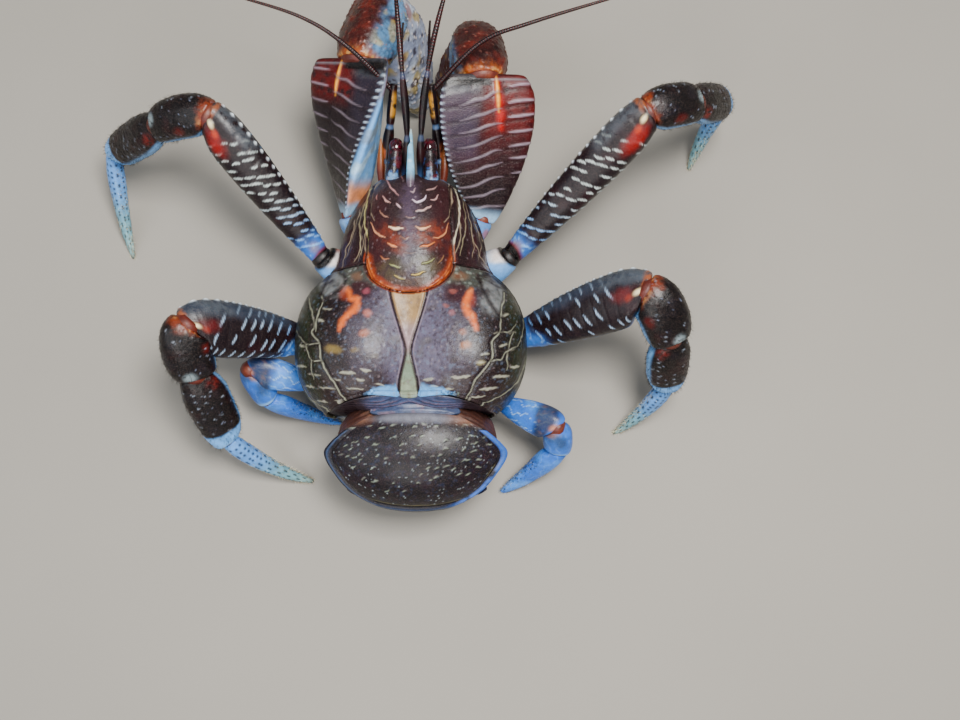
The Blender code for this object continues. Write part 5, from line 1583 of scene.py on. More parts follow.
def claw_merus_paint(where):
    """Maroon with long pale striae, a dotted crest, a light-blue inner face, a red streak and a painted grey
    highlight at its end.
    """
    wander, fine, lift, rough = plain_relief(where, where.seed)
    t, turn, u, length, size = where.t, where.turn, where.u, where.length, where.size
    left = where.left
    crest_at = np.radians(np.interp(t, (0, 0.3, 0.6, 1), (66, 52, 58, 66)) if left else np.full(len(t), 66.0))
    outer = smooth(crest_at + 0.08, crest_at - 0.02, turn) * smooth(-2.1, -1.9, turn)
    colour = washed(
        start_colour(where, "#261722" if left else "#421620"), "#1e0e16", 0.6 * smooth(0.0, 0.6, wander)
    )
    red = smooth(0.68, 0.82, t) * smooth(0.7, 0.1, turn) if left else smooth(0.45, 0.75, t) * smooth(
        0.45, -0.2, turn
    )
    colour = overlaid(
        colour,
        ("#6e0c0c", 0.8 * red * smooth(-0.9, 0.0, wander + fine)),
        (
            "#3f3a4a" if left else "#574f62",
            0.6 * smooth(0.35, 0.55, t) * smooth(0.1, 0.7, turn + 0.2 * wander) * smooth(0.98, 0.9, t)
        ),
        ("#1c1219", 0.8 * smooth(0.5, 0.2, t)),
    )
    reach = 0.8 if left else 0.66
    line = vec(((0.97, -0.42), (0.86, -0.5), (reach, -0.58))) * (length, size)
    streak = stroke(where.local, line, 3.6, 3.0, 0.6)
    colour = washed(colour, "#7a1410" if left else "#b41c06", 0.9 * streak)
    line = vec(((0.985, -0.42), (0.9, -0.46), (0.78, -0.5))) * (length, size)
    bright = stroke(where.local, line, 1.8, 1.4, 0.7)
    colour = washed(colour, "#f0b44a", 0.95 * bright)
    lift += 0.4 * bright + 0.25 * streak
    striae = np.zeros(len(t))
    rng = np.random.default_rng(where.seed)
    for k in range(9):
        at = length * (0.1 + 0.096 * k)
        wobble = rng.uniform(-0.5, 0.5, 5)
        v = np.array((0.86, 0.45, 0.02, -0.4, -0.62)) * size
        line = np.stack([at - 0.26 * v + wobble, v], -1)
        striae = np.maximum(striae, stroke(where.local, line, 1.15, 0.8, 0.8))
        v = np.array((-0.78, -0.98, -1.2)) * size
        line = np.stack([at + 1.0 - 0.26 * v + wobble[:3], v], -1)
        striae = np.maximum(striae, stroke(where.local, line, 1.1, 0.7, 0.7))
    striae = striae * outer * smooth(0.98, 0.94, t)
    colour = washed(colour, "#b3a7b2", (0.6 if left else 0.75) * striae)
    lift += 0.34 * striae
    shadow = smooth(0.2, 1.0, np.cos((u + 0.26 * where.v) / (length * 0.096) * 2 * np.pi)) * outer
    lift -= 0.14 * shadow
    colour = washed(colour, "#1c0e14", 0.35 * shadow)
    inner = smooth(crest_at + 0.02, crest_at + 0.14, turn) + smooth(-2.45, -2.7, turn)
    colour = overlaid(
        colour,
        ("#84baea", np.clip(inner, 0, 1) * 0.97),
        ("#d0eaf8", 0.7 * inner * smooth(0.0, 0.5, wander)),
        ("#8e939a", 0.6 * inner * smooth(0.1, 0.5, noise(where.points, 6, where.seed + 8))),
        ("#e29a62", 0.9 * inner * smooth(0.3, 0.16, t + 0.03 * wander) * smooth(0.04, 0.12, t)),
        ("#7c3426", 0.75 * inner * smooth(0.76, 0.84, t + 0.04 * wander)),
    )
    below = smooth(-1.75, -2.0, turn) * smooth(-2.75, -2.5, turn)
    colour = washed(colour, "#7c95b4", 0.6 * below)
    crest = np.zeros(len(t))
    for k in range(24):
        at = length * (0.07 + 0.88 * k / 23)
        crest = np.maximum(crest, spot(np.stack([u, (turn - crest_at) * size], -1), (at, 0), (0.5, 0.6), 0.6))
    colour = washed(colour, "#bccad8", 0.85 * crest)
    lift += 0.45 * crest
    rim = smooth(length - 3.4, length - 2.2, u)
    colour = overlaid(
        colour,
        ("#8d9aa0", 0.5 * rim * smooth(length - 1.6, length - 2.2, u)),
        # Painted highlight: grey on the crest side near the far end.
        (
            "#565f63",
            0.5 * smooth(length - 9, length - 6, u) * smooth(-0.1, 0.4, turn) * outer
            * smooth(-0.8, 0.1, wander + fine)
        ),
        (
            "#0d0a0d",
            0.95 * smooth(length - 5.0, length - 4.0, u) * smooth(length - 1.2, length - 2.2, u)
            * smooth(-0.5, -0.1, turn) * outer
        ),
    )
    lift += 0.3 * rim
    root = smooth(0.12, 0.03, t)
    colour = washed(colour, "#a9cbe6", 0.9 * root)
    return colour, rough + 0.1 * striae, lift


def claw_carpus_paint(where):
    """Red-brown and granular, with an orange proximal edge and a blue inner side."""
    wander, fine, lift, rough = plain_relief(where, where.seed)
    t, turn, points = where.t, where.turn, where.points
    colour = overlaid(
        start_colour(where, "#4e211f"),
        ("#7c3426", 0.6 * smooth(0.0, 0.5, wander)),
        ("#2c1618", 0.5 * smooth(0.1, 0.6, noise(points, 5, where.seed + 2))),
    )
    inner = smooth(0.9, 1.4, turn) * smooth(3.1, 2.7, turn)
    colour = overlaid(
        colour,
        ("#6c9cc0", 0.85 * inner * smooth(-0.5, 0.0, wander)),
        ("#c9b46a", 0.5 * inner * smooth(0.1, 0.5, noise(points, 4, where.seed + 6))),
    )
    front = smooth(0.13, 0.02, t + 0.08 * wander + 0.05 * fine)
    colour = overlaid(colour, ("#a8602a", 0.8 * front), ("#e8c07c", 0.6 * front * smooth(0.1, 0.5, fine)))
    grain, own = pebbles(points, 2.0, where.seed + 3)
    knobs = smooth(0.45, 0.8, grain) * (own > 0.3)
    lift += 0.4 * knobs
    colour = overlaid(
        colour,
        ("#c98f80", 0.55 * smooth(0.7, 0.9, grain) * (own > 0.6)),
        ("#1a0e10", 0.4 * smooth(0.45, 0.2, grain)),
    )
    rim = smooth(0.9, 0.94, t)
    colour = washed(colour, "#a9bcc4", 0.6 * rim)
    return colour, rough, lift + 0.25 * rim


def hand_paint(where):
    """Palm and fingers: granular, mottled brown and orange or whitish blue, with pale teeth."""
    _, _, lift, rough = plain_relief(where, where.seed)
    t, points = where.t, where.points
    broad = noise(points, 9, where.seed + 1, 3)
    if where.pale:
        colour = overlaid(
            start_colour(where, "#8f97ac"),
            ("#c9d2dc", 0.7 * smooth(-0.1, 0.5, broad)),
            ("#b09a4c", 0.7 * smooth(0.1, 0.5, noise(points, 6, where.seed + 2, 2))),
            ("#3a3446", 0.85 * smooth(0.3, 0.55, noise(points, 3.2, where.seed + 4, 2))),
        )
    else:
        colour = overlaid(
            start_colour(where, "#5c3524"),
            ("#9a5a2c", 0.7 * smooth(-0.1, 0.5, broad)),
            ("#b8923c", 0.6 * smooth(0.2, 0.5, noise(points, 6, where.seed + 2, 2))),
            ("#2a1a18", 0.8 * smooth(0.3, 0.55, noise(points, 3.2, where.seed + 4, 2))),
        )
    red = smooth(0.5, 0.1, t) * smooth(0.0, 0.5, noise(points, 8, where.seed + 6, 2))
    colour = washed(colour, "#7c2a22", 0.6 * red)
    grain, own = pebbles(points, 2.3, where.seed + 3)
    knobs = smooth(0.4, 0.8, grain) * (own > 0.2)
    lift += 0.5 * knobs * smooth(0.02, 0.1, t)
    colour = washed(colour, "#efe6e0", 0.85 * smooth(0.66, 0.85, grain) * (own > 0.45))
    edge = np.abs(np.abs(where.turn) - np.pi / 2)
    side_of, first, last, count = where.teeth
    on_edge = smooth(0.75, 0.2, np.abs(where.turn - side_of * np.pi / 2))
    teeth = np.zeros(len(t))
    for k in range(count):
        at = first + (last - first) * (k + 0.5) / count
        big = 1.0 - 0.5 * k / count
        teeth = np.maximum(teeth, big * smooth(0.5, 0.1, np.abs(t - at) * count / (last - first)))
    lift += 1.3 * teeth * on_edge
    colour = washed(colour, "#e9e4d8", 0.85 * on_edge * smooth(first - 0.02, first, t))
    tip = smooth(0.9, 0.97, t)
    colour = washed(colour, "#e4d9c4", 0.8 * tip)
    rough = rough + 0.02 * edge
    return colour, rough, lift


def hand_rings(wrist, tip, facing, outline, thickness, scale, angles, stations, side):
    """Rings of a flat, deep form seen from the side by its lower and upper edge."""
    wrist, tip = vec(wrist), vec(tip)
    along = unit(tip - wrist)
    up = unit(facing - along * (facing @ along))
    out = unit(np.cross(up, along)) * side
    radius = rounded_section(angles, OVAL, 2.5)
    edges = through(outline, stations) * scale
    half = through(thickness, stations)[:, 0] * PALM_HALF_THICKNESS * scale
    centre = wrist + (tip - wrist) * stations[:, None] + up * edges.mean(1)[:, None]
    across = (radius * np.cos(angles))[None, :, None] * half[:, None, None] * out
    upward = (radius * np.sin(angles))[None, :, None] * ((edges[:, 1] - edges[:, 0]) / 2)[:, None, None] * up
    return centre[:, None] + across + upward


# The tube of skin in a joint: distance along the limb and share of its half size, then its sides and colours.
JOINT_PROFILE = ((-2.6, 0.86), (-1.2, 0.95), (-0.4, 0.99), (0, 1.0), (0.4, 0.99), (1.2, 0.95), (2.6, 0.86))
JOINT_SIDES = 32
JOINT_SKIN, DARK_SKIN = "#6c2a18", "#0b090c"


def joint_skins(name, joints, halves, dark_root=False):
    """The soft skin in the joints of a limb: short tubes that reach into the articles on both sides."""
    _, faces = joint_faces(joints)
    points, groups, colours = [], [], []
    total = 0
    angles = np.linspace(0, 2 * np.pi, JOINT_SIDES, endpoint=False)
    for index, size in halves.items():
        dark = dark_root and index == 1
        base = DARK_SKIN if dark else JOINT_SKIN
        way = faces[index]
        out = unit(np.cross((0, 0, 1), way))
        up = np.cross(way, out)
        rings = []
        for along, share in JOINT_PROFILE:
            ring = np.cos(angles)[:, None] * out + np.sin(angles)[:, None] * up
            rings.append(vec(joints[index]) + way * along + ring * size * share)
        rings = np.stack(rings)
        tones = washed(
            plain(base, rings[..., 0].size), "#a8683c",
            (0.0 if dark else 0.3) * smooth(0, 0.5, noise(rings.reshape(-1, 3), 3, 5 + index, 2))
        )
        new, faces_of, shades, _ = capped(rings, tones.reshape(rings.shape), 0.5)
        points.append(new)
        groups += [group + total for group in faces_of]
        colours.append(shades)
        total += len(new)
    quads = np.concatenate([g for g in groups if g.shape[1] == 4])
    fans = np.concatenate([g for g in groups if g.shape[1] == 3])
    colours = np.concatenate(colours)
    obj = build(
        f"{name}_joint_skin", np.concatenate(points), [quads, fans], SKIN, colours, np.full(len(colours), 0.5)
    )
    placed(obj, slot="sac_skin")


# Glossy black ovals at the roots of the second legs, in the photograph's pixels: place, radii and lean.
ROOT_OVALS = {
    "leg_2_left": ((325.9, 257.6), (7.0, 15.0), 40),
    "leg_2_right": ((508.6, 253.4), (8.4, 15.5), -38),
}


def make_walking_leg(name, joints, crest, halves, seed):
    """The five painted articles of a walking leg."""
    leg = limb_of(name, name[6:], joints, crest, seed)
    eye = ROOT_OVALS.get(name)
    article(
        leg, 0, "basis", (BASIS_HALF, BASIS_HALF), BASIS_FORM, basis_paint, "blue_shell",
        {"eye": eye, "side": leg.side}
    )
    facts = {"third": name.startswith("leg_3"), "eye": eye}
    article(leg, 1, "merus", halves[0], MERUS_FORM, leg_merus_paint, "dark_shell", facts, zone=0.3)
    bow = -CARPUS_SWELL * (
        unit(vec(joints[4]) - vec(joints[3])) - unit(vec(joints[2]) - vec(joints[1]))
    ) * 0.7
    far = (leg_far_paint, "dark_shell")
    article(leg, 2, "carpus", halves[1], CARPUS_FORM, *far, {"propodus": False}, bow=bow)
    article(leg, 3, "propodus", halves[2], PROPODUS_FORM, *far, {"propodus": True})
    article(
        leg, 4, "dactyl", halves[3], DACTYL_FORM, dactyl_paint, "pale_blue_shell",
        joints=sharpened(joints, 5),
        bow=leg.facing[4] * DACTYL_BOW, spacing=0.42, rounding=(EDGE_ROUND, 0.6),
    )
    joint_skins(name, joints, {1: 5.3 if eye else 4.2, 2: 6.6, 3: 6.2, 4: 3.2}, dark_root=bool(eye))


def make_small_leg(name, joints, crest, seed):
    """The painted merus, carpus and hand of a fourth leg."""
    leg = limb_of(name, name[6:], joints, crest, seed - SEED_STEP)
    merus, carpus, hand = SMALL_LEG_HALVES
    blue = (small_leg_paint, "blue_shell")
    article(leg, 1, "merus", merus, MERUS_FORM, *blue, {"kind": "merus"})
    article(leg, 2, "carpus", carpus, CARPUS_FORM, *blue, {"kind": "carpus"})
    article(
        leg, 3, "hand", hand, DACTYL_FORM, small_leg_paint, "pale_blue_shell", {"kind": "hand"},
        joints=sharpened(joints, 4), bow=leg.facing[3] * 2.5, spacing=0.45,
    )
    joint_skins(name, joints, {2: 4.4, 3: 3.6})


def make_claw(name, joints, crest, twist, finger_way, scale, seed):
    """The painted basis, merus, carpus, palm and movable finger of a claw."""
    claw = limb_of(name, name[5:], joints, crest, seed)
    side = claw.side
    half = CLAW_BASIS_HALF * scale
    article(
        claw, 0, "basis", (half, half), BASIS_FORM, basis_paint, "blue_shell", {"eye": None, "side": side}
    )
    article(
        claw, 1, "merus", vec(CLAW_MERUS_HALF) * (scale + 1) / 2, CLAW_MERUS_FORM, claw_merus_paint,
        "red_shell",
        {"left": side == LEFT}, material=CLAW, flats=WEDGED, sharpness=5, zone=0.3, twist=-twist,
        spacing=0.52,
    )
    article(
        claw, 2, "carpus", vec(CLAW_CARPUS_HALF) * scale, CARPUS_FORM, claw_carpus_paint, "red_shell",
        material=CLAW
    )
    _, faces = joint_faces(joints)
    wrist = vec(joints[3]) + faces[3] * GAP / 2
    tip = vec(joints[4])
    lowered = tip + unit(tip - wrist) * 1.5
    length = np.linalg.norm(lowered - wrist)
    angles = np.linspace(0, 2 * np.pi, PALM_SIDES, endpoint=False)
    stations = np.unique(np.concatenate([np.linspace(0, 1, PALM_ROWS), *PALM_MORE_ROWS]))
    pale = name == "claw_left"
    palm = hand_rings(
        wrist, lowered, vec(finger_way), PALM_OUTLINE, PALM_THICKNESS, scale, angles, stations, side
    )
    facts = {"seed": seed + 60, "pale": pale, "teeth": PALM_TEETH}
    shown = (hand_paint, CLAW, "red_shell")
    painted_limb(f"{name}_palm_shell", f"{name}_palm", palm, stations, angles, length, *shown, **facts)
    start = wrist + (lowered - wrist) * FINGER_START
    end = wrist + (lowered - wrist) * FINGER_END
    stations = np.linspace(0, 1, FINGER_ROWS)
    angles = np.linspace(0, 2 * np.pi, FINGER_SIDES, endpoint=False)
    finger = hand_rings(
        start, end, vec(finger_way), FINGER_OUTLINE, FINGER_THICKNESS, scale, angles, stations, side
    )
    facts = {"seed": seed + 80, "pale": pale, "teeth": FINGER_TEETH}
    length = np.linalg.norm(end - start)
    painted_limb(f"{name}_finger_shell", f"{name}_finger", finger, stations, angles, length, *shown, **facts)
    joint_skins(name, joints, {1: 4.0, 2: 9.6 * scale, 3: 8.2 * scale})


for place, (leg, (joints, crest, halves)) in enumerate(WALKING_LEGS.items()):
    make_walking_leg(leg, joints, crest, halves, 1000 + 200 * place)
for place, (leg, (joints, crest)) in enumerate(SMALL_LEGS.items()):
    make_small_leg(leg, joints, crest, 3000 + 200 * place)
for place, (claw, (joints, crest, twist, finger_way, scale)) in enumerate(CLAWS.items()):
    make_claw(claw, joints, crest, twist, finger_way, scale, 4000 + 200 * place)


SAC_CENTRE, SAC_RADII = (-2.6, 40.5, 36), (37, 28, 23)
# Plates lie on a wider form than the sac, so that their sides stand off it.
PLATE_RADII = (43, 28, 23)
# Name: first angle, last angle (90 is the top, 0 the rear, -90 under), half width, thickness, and distance
# off the sac.
PLATES = {
    "abdomen_plate_1": (122, 111.5, 21, 1.5, 0.3),
    "abdomen_plate_2": (110, 4, 41.3, 2.4, 0.9),
    "abdomen_plate_3": (0, -26, 33, 1.9, 0.4),
    "abdomen_plate_4": (-30, -50, 27, 1.8, 0.4),
    "abdomen_plate_5": (-54, -70, 20, 1.6, 0.4),
    "tail_plate": (-74, -88, 12, 1.5, 0.4),
}
GREAT_OUTLINE = ((0, 0.5), (0.1, 0.74), (0.3, 0.97), (0.45, 1.0), (0.65, 0.9), (0.85, 0.68), (1, 0.3))
PLATE_OUTLINE = ((0, 0.9), (0.4, 1.0), (0.8, 0.92), (1, 0.78))
PLATE_PLACES = crop_frame(280.7, 379.8, 4.64)
# Pale dashes of the great plate, where the camera sees them: place and length.
PLATE_DASHES = (
    (330, 225, 34), (412, 214, 24), (345, 290, 30), (300, 307, 18), (400, 268, 24), (440, 298, 30),
    (520, 268, 30),
    (520, 211, 34), (268, 280, 24), (308, 355, 18), (337, 359, 16), (325, 320, 20), (280, 345, 16),
    (337, 405, 24),
    (368, 345, 16), (430, 410, 22), (470, 226, 30), (610, 262, 24), (640, 300, 22), (655, 258, 20),
    (703, 360, 22),
    (738, 354, 20), (765, 320, 24), (766, 282, 24), (830, 275, 30), (858, 211, 38), (850, 326, 22),
    (893, 330, 30),
    (862, 375, 36), (920, 370, 26), (900, 295, 30), (950, 265, 26), (888, 258, 30), (968, 300, 26),
    (1000, 290, 20),
    (915, 405, 22), (772, 402, 34), (728, 410, 16), (682, 408, 18), (722, 450, 22), (830, 440, 28),
    (800, 415, 18),
    (575, 345, 18), (612, 360, 18), (560, 300, 20), (545, 340, 14), (492, 360, 22), (450, 350, 18),
    (436, 472, 30),
    (385, 458, 20), (496, 515, 22), (520, 480, 14), (650, 440, 18), (575, 520, 20), (700, 465, 16),
    (640, 480, 14),
    (868, 438, 26), (930, 222, 24), (370, 372, 14), (290, 252, 20), (720, 215, 20), (665, 205, 20),
    (620, 215, 18),
)


SAC_ROWS, SAC_SIDES = 130, 200
# The sac ends flat in front, inside the trunk.
SAC_FRONT = 23.9
# The membrane behind the domes: where it starts, how far inside the rear edge it ends, how far it may reach,
# the place of its middle, its share of the trunk's own reach, its sides and rows, and its bulge.
MEMBRANE_START, MEMBRANE_INSET, MEMBRANE_END = 22.0, 1.4, 28.0
MEMBRANE_MIDDLE = 23.0
MEMBRANE_SHARE = 0.955
MEMBRANE_SIDES, MEMBRANE_ROWS, MEMBRANE_RIM_ROWS = 260, 46, 12
MEMBRANE_BULGE, MEMBRANE_TUCK = 4.4, -1.6


def sac_points(radii, angle, lateral, lift):
    """Points on the abdomen, by the angle round its back and the angle out to the side."""
    way = np.stack([np.sin(lateral), np.cos(lateral) * np.cos(angle), np.cos(lateral) * np.sin(angle)], -1)
    return vec(SAC_CENTRE) + (vec(radii) + np.asarray(lift)[..., None]) * way


def slab(name, node, outer, inner, colour, rough, material, slot):
    """A closed plate from an outer and an inner grid of points with the same rows and columns."""
    rows, columns = outer.shape[:2]
    rings = np.concatenate([outer, inner[:, ::-1]], 1)
    colours = np.concatenate([colour, colour[:, ::-1] * 0.8], 1)
    roughs = np.concatenate([rough, rough[:, ::-1]], 1)
    count, sides = rings.shape[:2]
    faces = grid_faces(count, sides)
    strips = []
    for row, turned in ((0, True), (count - 1, False)):
        k = np.arange(columns - 1)
        base = row * sides
        strip = np.stack([base + k, base + k + 1, base + sides - 2 - k, base + sides - 1 - k], -1)
        strips.append(strip[:, ::-1] if turned else strip)
    obj = build(
        name, rings.reshape(-1, 3), np.concatenate([faces, *strips]), material, colours.reshape(-1, 3),
        roughs.reshape(-1)
    )
    middle = outer[rows // 2, columns // 2]
    normal = np.cross(
        outer[rows // 2, columns // 2 + 1] - middle, outer[rows // 2 + 1, columns // 2] - middle
    )
    if normal @ (middle - inner[rows // 2, columns // 2]) > 0:
        obj.data.flip_normals()
    if node:
        placed(obj, node, slot=slot)
    else:
        placed(obj, slot=slot)


def make_plate(name, first, last, half_width, thickness, lift):
    """One dense plate of the abdomen with its rim, marks and relief; the great plate also has painted
    highlights.
    """
    great = name == "abdomen_plate_2"
    rows, columns = (120, 190) if great else (max(16, int(abs(first - last) * 1.4)), 120)
    step = np.linspace(0, 1, rows)
    across = np.linspace(-1, 1, columns)
    width = half_width / (PLATE_RADII[0] + lift + thickness) * through(
        GREAT_OUTLINE if great else PLATE_OUTLINE, step
    )[:, 0]
    lateral = np.arcsin(np.minimum(width, 0.985))[:, None] * across[None]
    angle = np.repeat(np.radians(first + (last - first) * step)[:, None], columns, 1)
    outer = sac_points(PLATE_RADII, angle, lateral, np.full(angle.shape, lift + thickness))
    inner = sac_points(PLATE_RADII, angle, lateral, np.full(angle.shape, lift))
    points = outer.reshape(-1, 3)
    side_away = (1 - np.abs(np.repeat(across[None], rows, 0))) * (
        half_width * np.maximum(width / width.max(), 0.4)
    )[:, None]
    rear_away = (1 - np.repeat(step[:, None], columns, 1)) * abs(math.radians(last - first)) * 25
    edge = np.minimum(side_away, rear_away).reshape(-1)
    wander, fine = noise(points, 8, 211, 3), noise(points, 2.0, 217, 2)
    x = points[:, 0]
    colour = washed(plain("#1c151f", len(points)), "#33222e", 0.6 * smooth(0.0, 0.6, wander))
    rough = np.full(len(points), 0.4) + 0.08 * fine
    rise = 0.08 * wander + 0.04 * fine
    if great:
        seen = PLATE_PLACES(seen_at(points))
        ragged = shaken(seen, 7, fine, noise(points, 1.4, 221))
        for place_x, place_y, long in PLATE_DASHES:
            line = (
                (place_x - long / 2, place_y + 3), (place_x, place_y - 2), (place_x + long / 2, place_y - 3)
            )
            dash = stroke(ragged, line, 5.5, 7, 0.6)
            colour = washed(colour, "#a3ad9c", 0.75 * dash)
            rise += 0.2 * dash
        dots, own = pebbles(points, 1.5, 223)
        speck = (own > 0.78) * smooth(0.66, 0.8, dots)
        colour = overlaid(
            colour,
            ("#a9b3b4", 0.6 * speck),
            ("#4a5a78", 0.3 * smooth(0.1, 0.6, noise(points, 1.2, 225, 2))),
            ("#3a1f30", 0.5 * smooth(0.1, 0.6, noise(points, 1.6, 229, 2))),
        )
        line = smooth(1.0, 0.4, np.abs(edge - 5.6 + wander)) * (points[:, 1] > 52)
        colour = washed(colour, "#8f8a62", 0.55 * line)
        rim = smooth(4.4, 3.8, edge) * (step.repeat(columns) > 0.12)
        groove = smooth(1.2, 0.3, np.abs(edge - 4.8)) * (step.repeat(columns) > 0.15)
        blue = smooth(14, 27, -x)
        colour = overlaid(
            colour,
            ("#131c33", 0.97 * rim),
            ("#3f78c8", 0.85 * rim * blue * smooth(-0.8, -0.2, fine + wander)),
            # Painted highlight: a thin light-blue line along the rim.
            ("#6a86ac", 0.35 * smooth(0.7, 0.2, np.abs(edge - 3.0)) * rim),
            ("#120e16", 0.6 * groove),
        )
        rise += 1.1 * smooth(4.6, 2.9, edge) * (step.repeat(columns) > 0.1) - 0.35 * groove
        front = smooth(0.12, 0.02, step.repeat(columns) + 0.02 * wander)
        colour = overlaid(
            colour,
            ("#a07860", 0.75 * front * smooth(12, 22, np.abs(x))),
            # Painted highlight: pale grey along the middle of the front edge.
            ("#8d8c96", 0.6 * front * smooth(20, 10, np.abs(x + 2))),
        )
        sheen = spot(seen, (640, 178), (190, 22), 0.6)
        colour = washed(colour, "#9a9ca6", 0.5 * sheen)
        rough -= 0.12 * sheen
    elif name == "abdomen_plate_1":
        colour = washed(plain("#54607c", len(points)), "#8f96a8", 0.7 * smooth(-0.2, 0.5, wander))
        colour = washed(colour, "#a08088", 0.5 * smooth(0.0, 0.6, fine))
        rise += 0.35 * np.sin(angle.reshape(-1) * 70 + 2 * wander) * smooth(0.0, 0.4, wander + 0.4)
    else:
        grain, own = pebbles(points * vec((0.55, 1, 1)), 2.6, 227)
        dash = (own > 0.72) * smooth(0.55, 0.75, grain) * smooth(3, 5, edge)
        colour = washed(colour, "#a9b4a0", 0.8 * dash)
        rise += 0.2 * dash
        rim = smooth(2.6, 2.0, edge)
        colour = washed(colour, "#1a2a4c", 0.9 * rim)
        rise += 0.5 * smooth(2.8, 1.8, edge)
    ways = unit(points - vec(SAC_CENTRE))
    falls = smooth(0, 0.9, np.minimum(edge, step.repeat(columns) * 22))
    moved = points + ways * (rise * falls - 0.7 * (1 - falls))[:, None]
    shape = (rows, columns)
    slab(
        f"{name}_shell", name, moved.reshape(*shape, 3), inner, colour.reshape(*shape, 3),
        rough.reshape(shape), SHELL, "dark_shell"
    )


def make_sac():
    """The wrinkled soft sac of the abdomen."""
    turns = np.linspace(-0.985, 0.985, SAC_ROWS) * np.pi / 2
    angles = np.linspace(0, 2 * np.pi, SAC_SIDES, endpoint=False)
    angle, lateral = np.repeat(angles[None], SAC_ROWS, 0), np.repeat(turns[:, None], SAC_SIDES, 1)
    points = sac_points(SAC_RADII, angle, lateral, np.zeros(angle.shape)).reshape(-1, 3)
    wander, fine = noise(points, 9, 231, 3), noise(points * vec((0.45, 1, 1)), 2.4, 233, 2)
    folds = np.sin(angle.reshape(-1) * 44 + 3.5 * noise(points, 12, 237, 2))
    rise = 0.35 * folds * smooth(-0.5, 0.3, wander) + 0.25 * fine + 0.4 * wander
    points = points + unit(points - vec(SAC_CENTRE)) * rise[:, None]
    points[:, 1] = np.maximum(points[:, 1], SAC_FRONT)
    colour = overlaid(
        plain("#5a3a30", len(points)),
        ("#94705a", 0.6 * smooth(0.0, 0.6, wander)),
        ("#5a4650", 0.6 * smooth(0.1, 0.6, noise(points, 6, 239, 2))),
        ("#3a2420", 0.6 * smooth(-0.3, -0.9, folds)),
        ("#8a9aae", 0.5 * smooth(30, 16, points[:, 2]) * smooth(0, 0.5, wander)),
    )
    shape = angle.shape
    rough = np.full(shape, 0.55)
    solid = capped(points.reshape(*shape, 3), colour.reshape(*shape, 3), rough)
    obj = build("abdomen_sac_skin", solid[0], solid[1], SKIN, solid[2], solid[3])
    placed(obj, "abdomen_sac", slot="sac_skin")


def make_membrane():
    """The skin that closes the rear of the trunk behind its rim."""
    angles = np.linspace(0, 2 * np.pi, MEMBRANE_SIDES, endpoint=False)
    _, reach = trunk_points(np.full(MEMBRANE_SIDES, MEMBRANE_START), angles)
    for _ in range(3):
        ends = np.interp(np.abs(np.sin(angles) * reach), *zip(*REAR_NOTCH)) - MEMBRANE_INSET
        _, reach = trunk_points(np.minimum(ends, MEMBRANE_END), angles)
    dome = np.linspace(1, 0.04, MEMBRANE_ROWS)
    shares = np.concatenate([dome, np.linspace(0.04, 0.97, MEMBRANE_RIM_ROWS)])
    bulge = np.concatenate([MEMBRANE_BULGE * np.sqrt(1 - dome**2), np.full(MEMBRANE_RIM_ROWS, MEMBRANE_TUCK)])
    wide = np.abs(np.sin(angles) * reach)
    rear = np.interp(wide, *zip(*REAR_NOTCH)) - MEMBRANE_INSET
    rings = []
    for share, out in zip(shares, bulge):
        near = reach * share * MEMBRANE_SHARE
        fall = np.where(out > 0, np.clip(1.25 - (wide * share / 24) ** 2, 0.1, 1), 1)
        y = rear * share + MEMBRANE_MIDDLE * (1 - share) + out * fall
        rings.append(np.stack([np.sin(angles) * near, y, TRUNK_AXIS_HEIGHT + np.cos(angles) * near], -1))
    rings = np.stack(rings)
    points = rings.reshape(-1, 3)
    wander = noise(points, 7, 241, 3)
    folds = np.sin(points[:, 2] * 2.6 + 2.2 * wander) * smooth(
        0.0, 0.2, np.repeat(1 - shares, MEMBRANE_SIDES)
    )
    colour = overlaid(
        plain("#4a5878", len(points)),
        ("#8490a8", 0.6 * smooth(0.0, 0.5, wander)),
        ("#a07e86", 0.45 * smooth(0.4, 0.9, folds)),
        ("#3a2a30", 0.9 * smooth(18, 24, np.abs(points[:, 0] + 2) + 3 * wander)),
        ("#2a1a1c", 0.6 * smooth(0.96, 0.99, np.repeat(shares, MEMBRANE_SIDES))),
    )
    moved = points + vec((0, 1, 0)) * (0.4 * folds * (np.repeat(bulge, MEMBRANE_SIDES) > 0))[:, None]
    solid = capped(moved.reshape(rings.shape), colour.reshape(rings.shape), 0.45)
    obj = build("rear_membrane", solid[0], solid[1], SKIN, solid[2], solid[3])
    placed(obj, slot="sac_skin")


make_sac()
make_membrane()
for plate, sizes in PLATES.items():
    make_plate(plate, *sizes)


EYESTALKS = {"left": ((8.6, -77, 64), (6.6, -98, 68)), "right": ((-9.4, -77, 64), (-8.2, -98, 68))}
ANTENNAE = {
    "left": (
        ((13.5, -74, 51), (12.2, -93, 57), (9.8, -106, 68), (7.5, -119, 80)),
        ((28, -132, 92), (49, -143, 99), (84, -154, 101))
    ),
    "right": (
        ((-13.5, -74, 51), (-12.9, -94, 56), (-11.0, -107, 68), (-9.5, -119, 80)),
        ((-32, -134, 91), (-55, -141, 97), (-110, -158, 99))
    ),
}
ANTENNULES = {
    "left": ((3.6, -78, 56), (1.5, -97, 76), (3.2, -122, 94), (5.5, -150, 102), (6.5, -158, 92)),
    "right": ((-4.4, -78, 56), (-5.0, -97, 76), (-9.0, -124, 92), (-16, -150, 103), (-19, -160, 95)),
}
MOUTH_LEGS = {
    "left": ((7, -66, 28), (9.5, -82, 33), (6.5, -92, 24), (4.5, -88, 14)),
    "right": ((-7, -66, 28), (-9.5, -82, 33), (-6.5, -92, 24), (-4.5, -88, 14)),
}


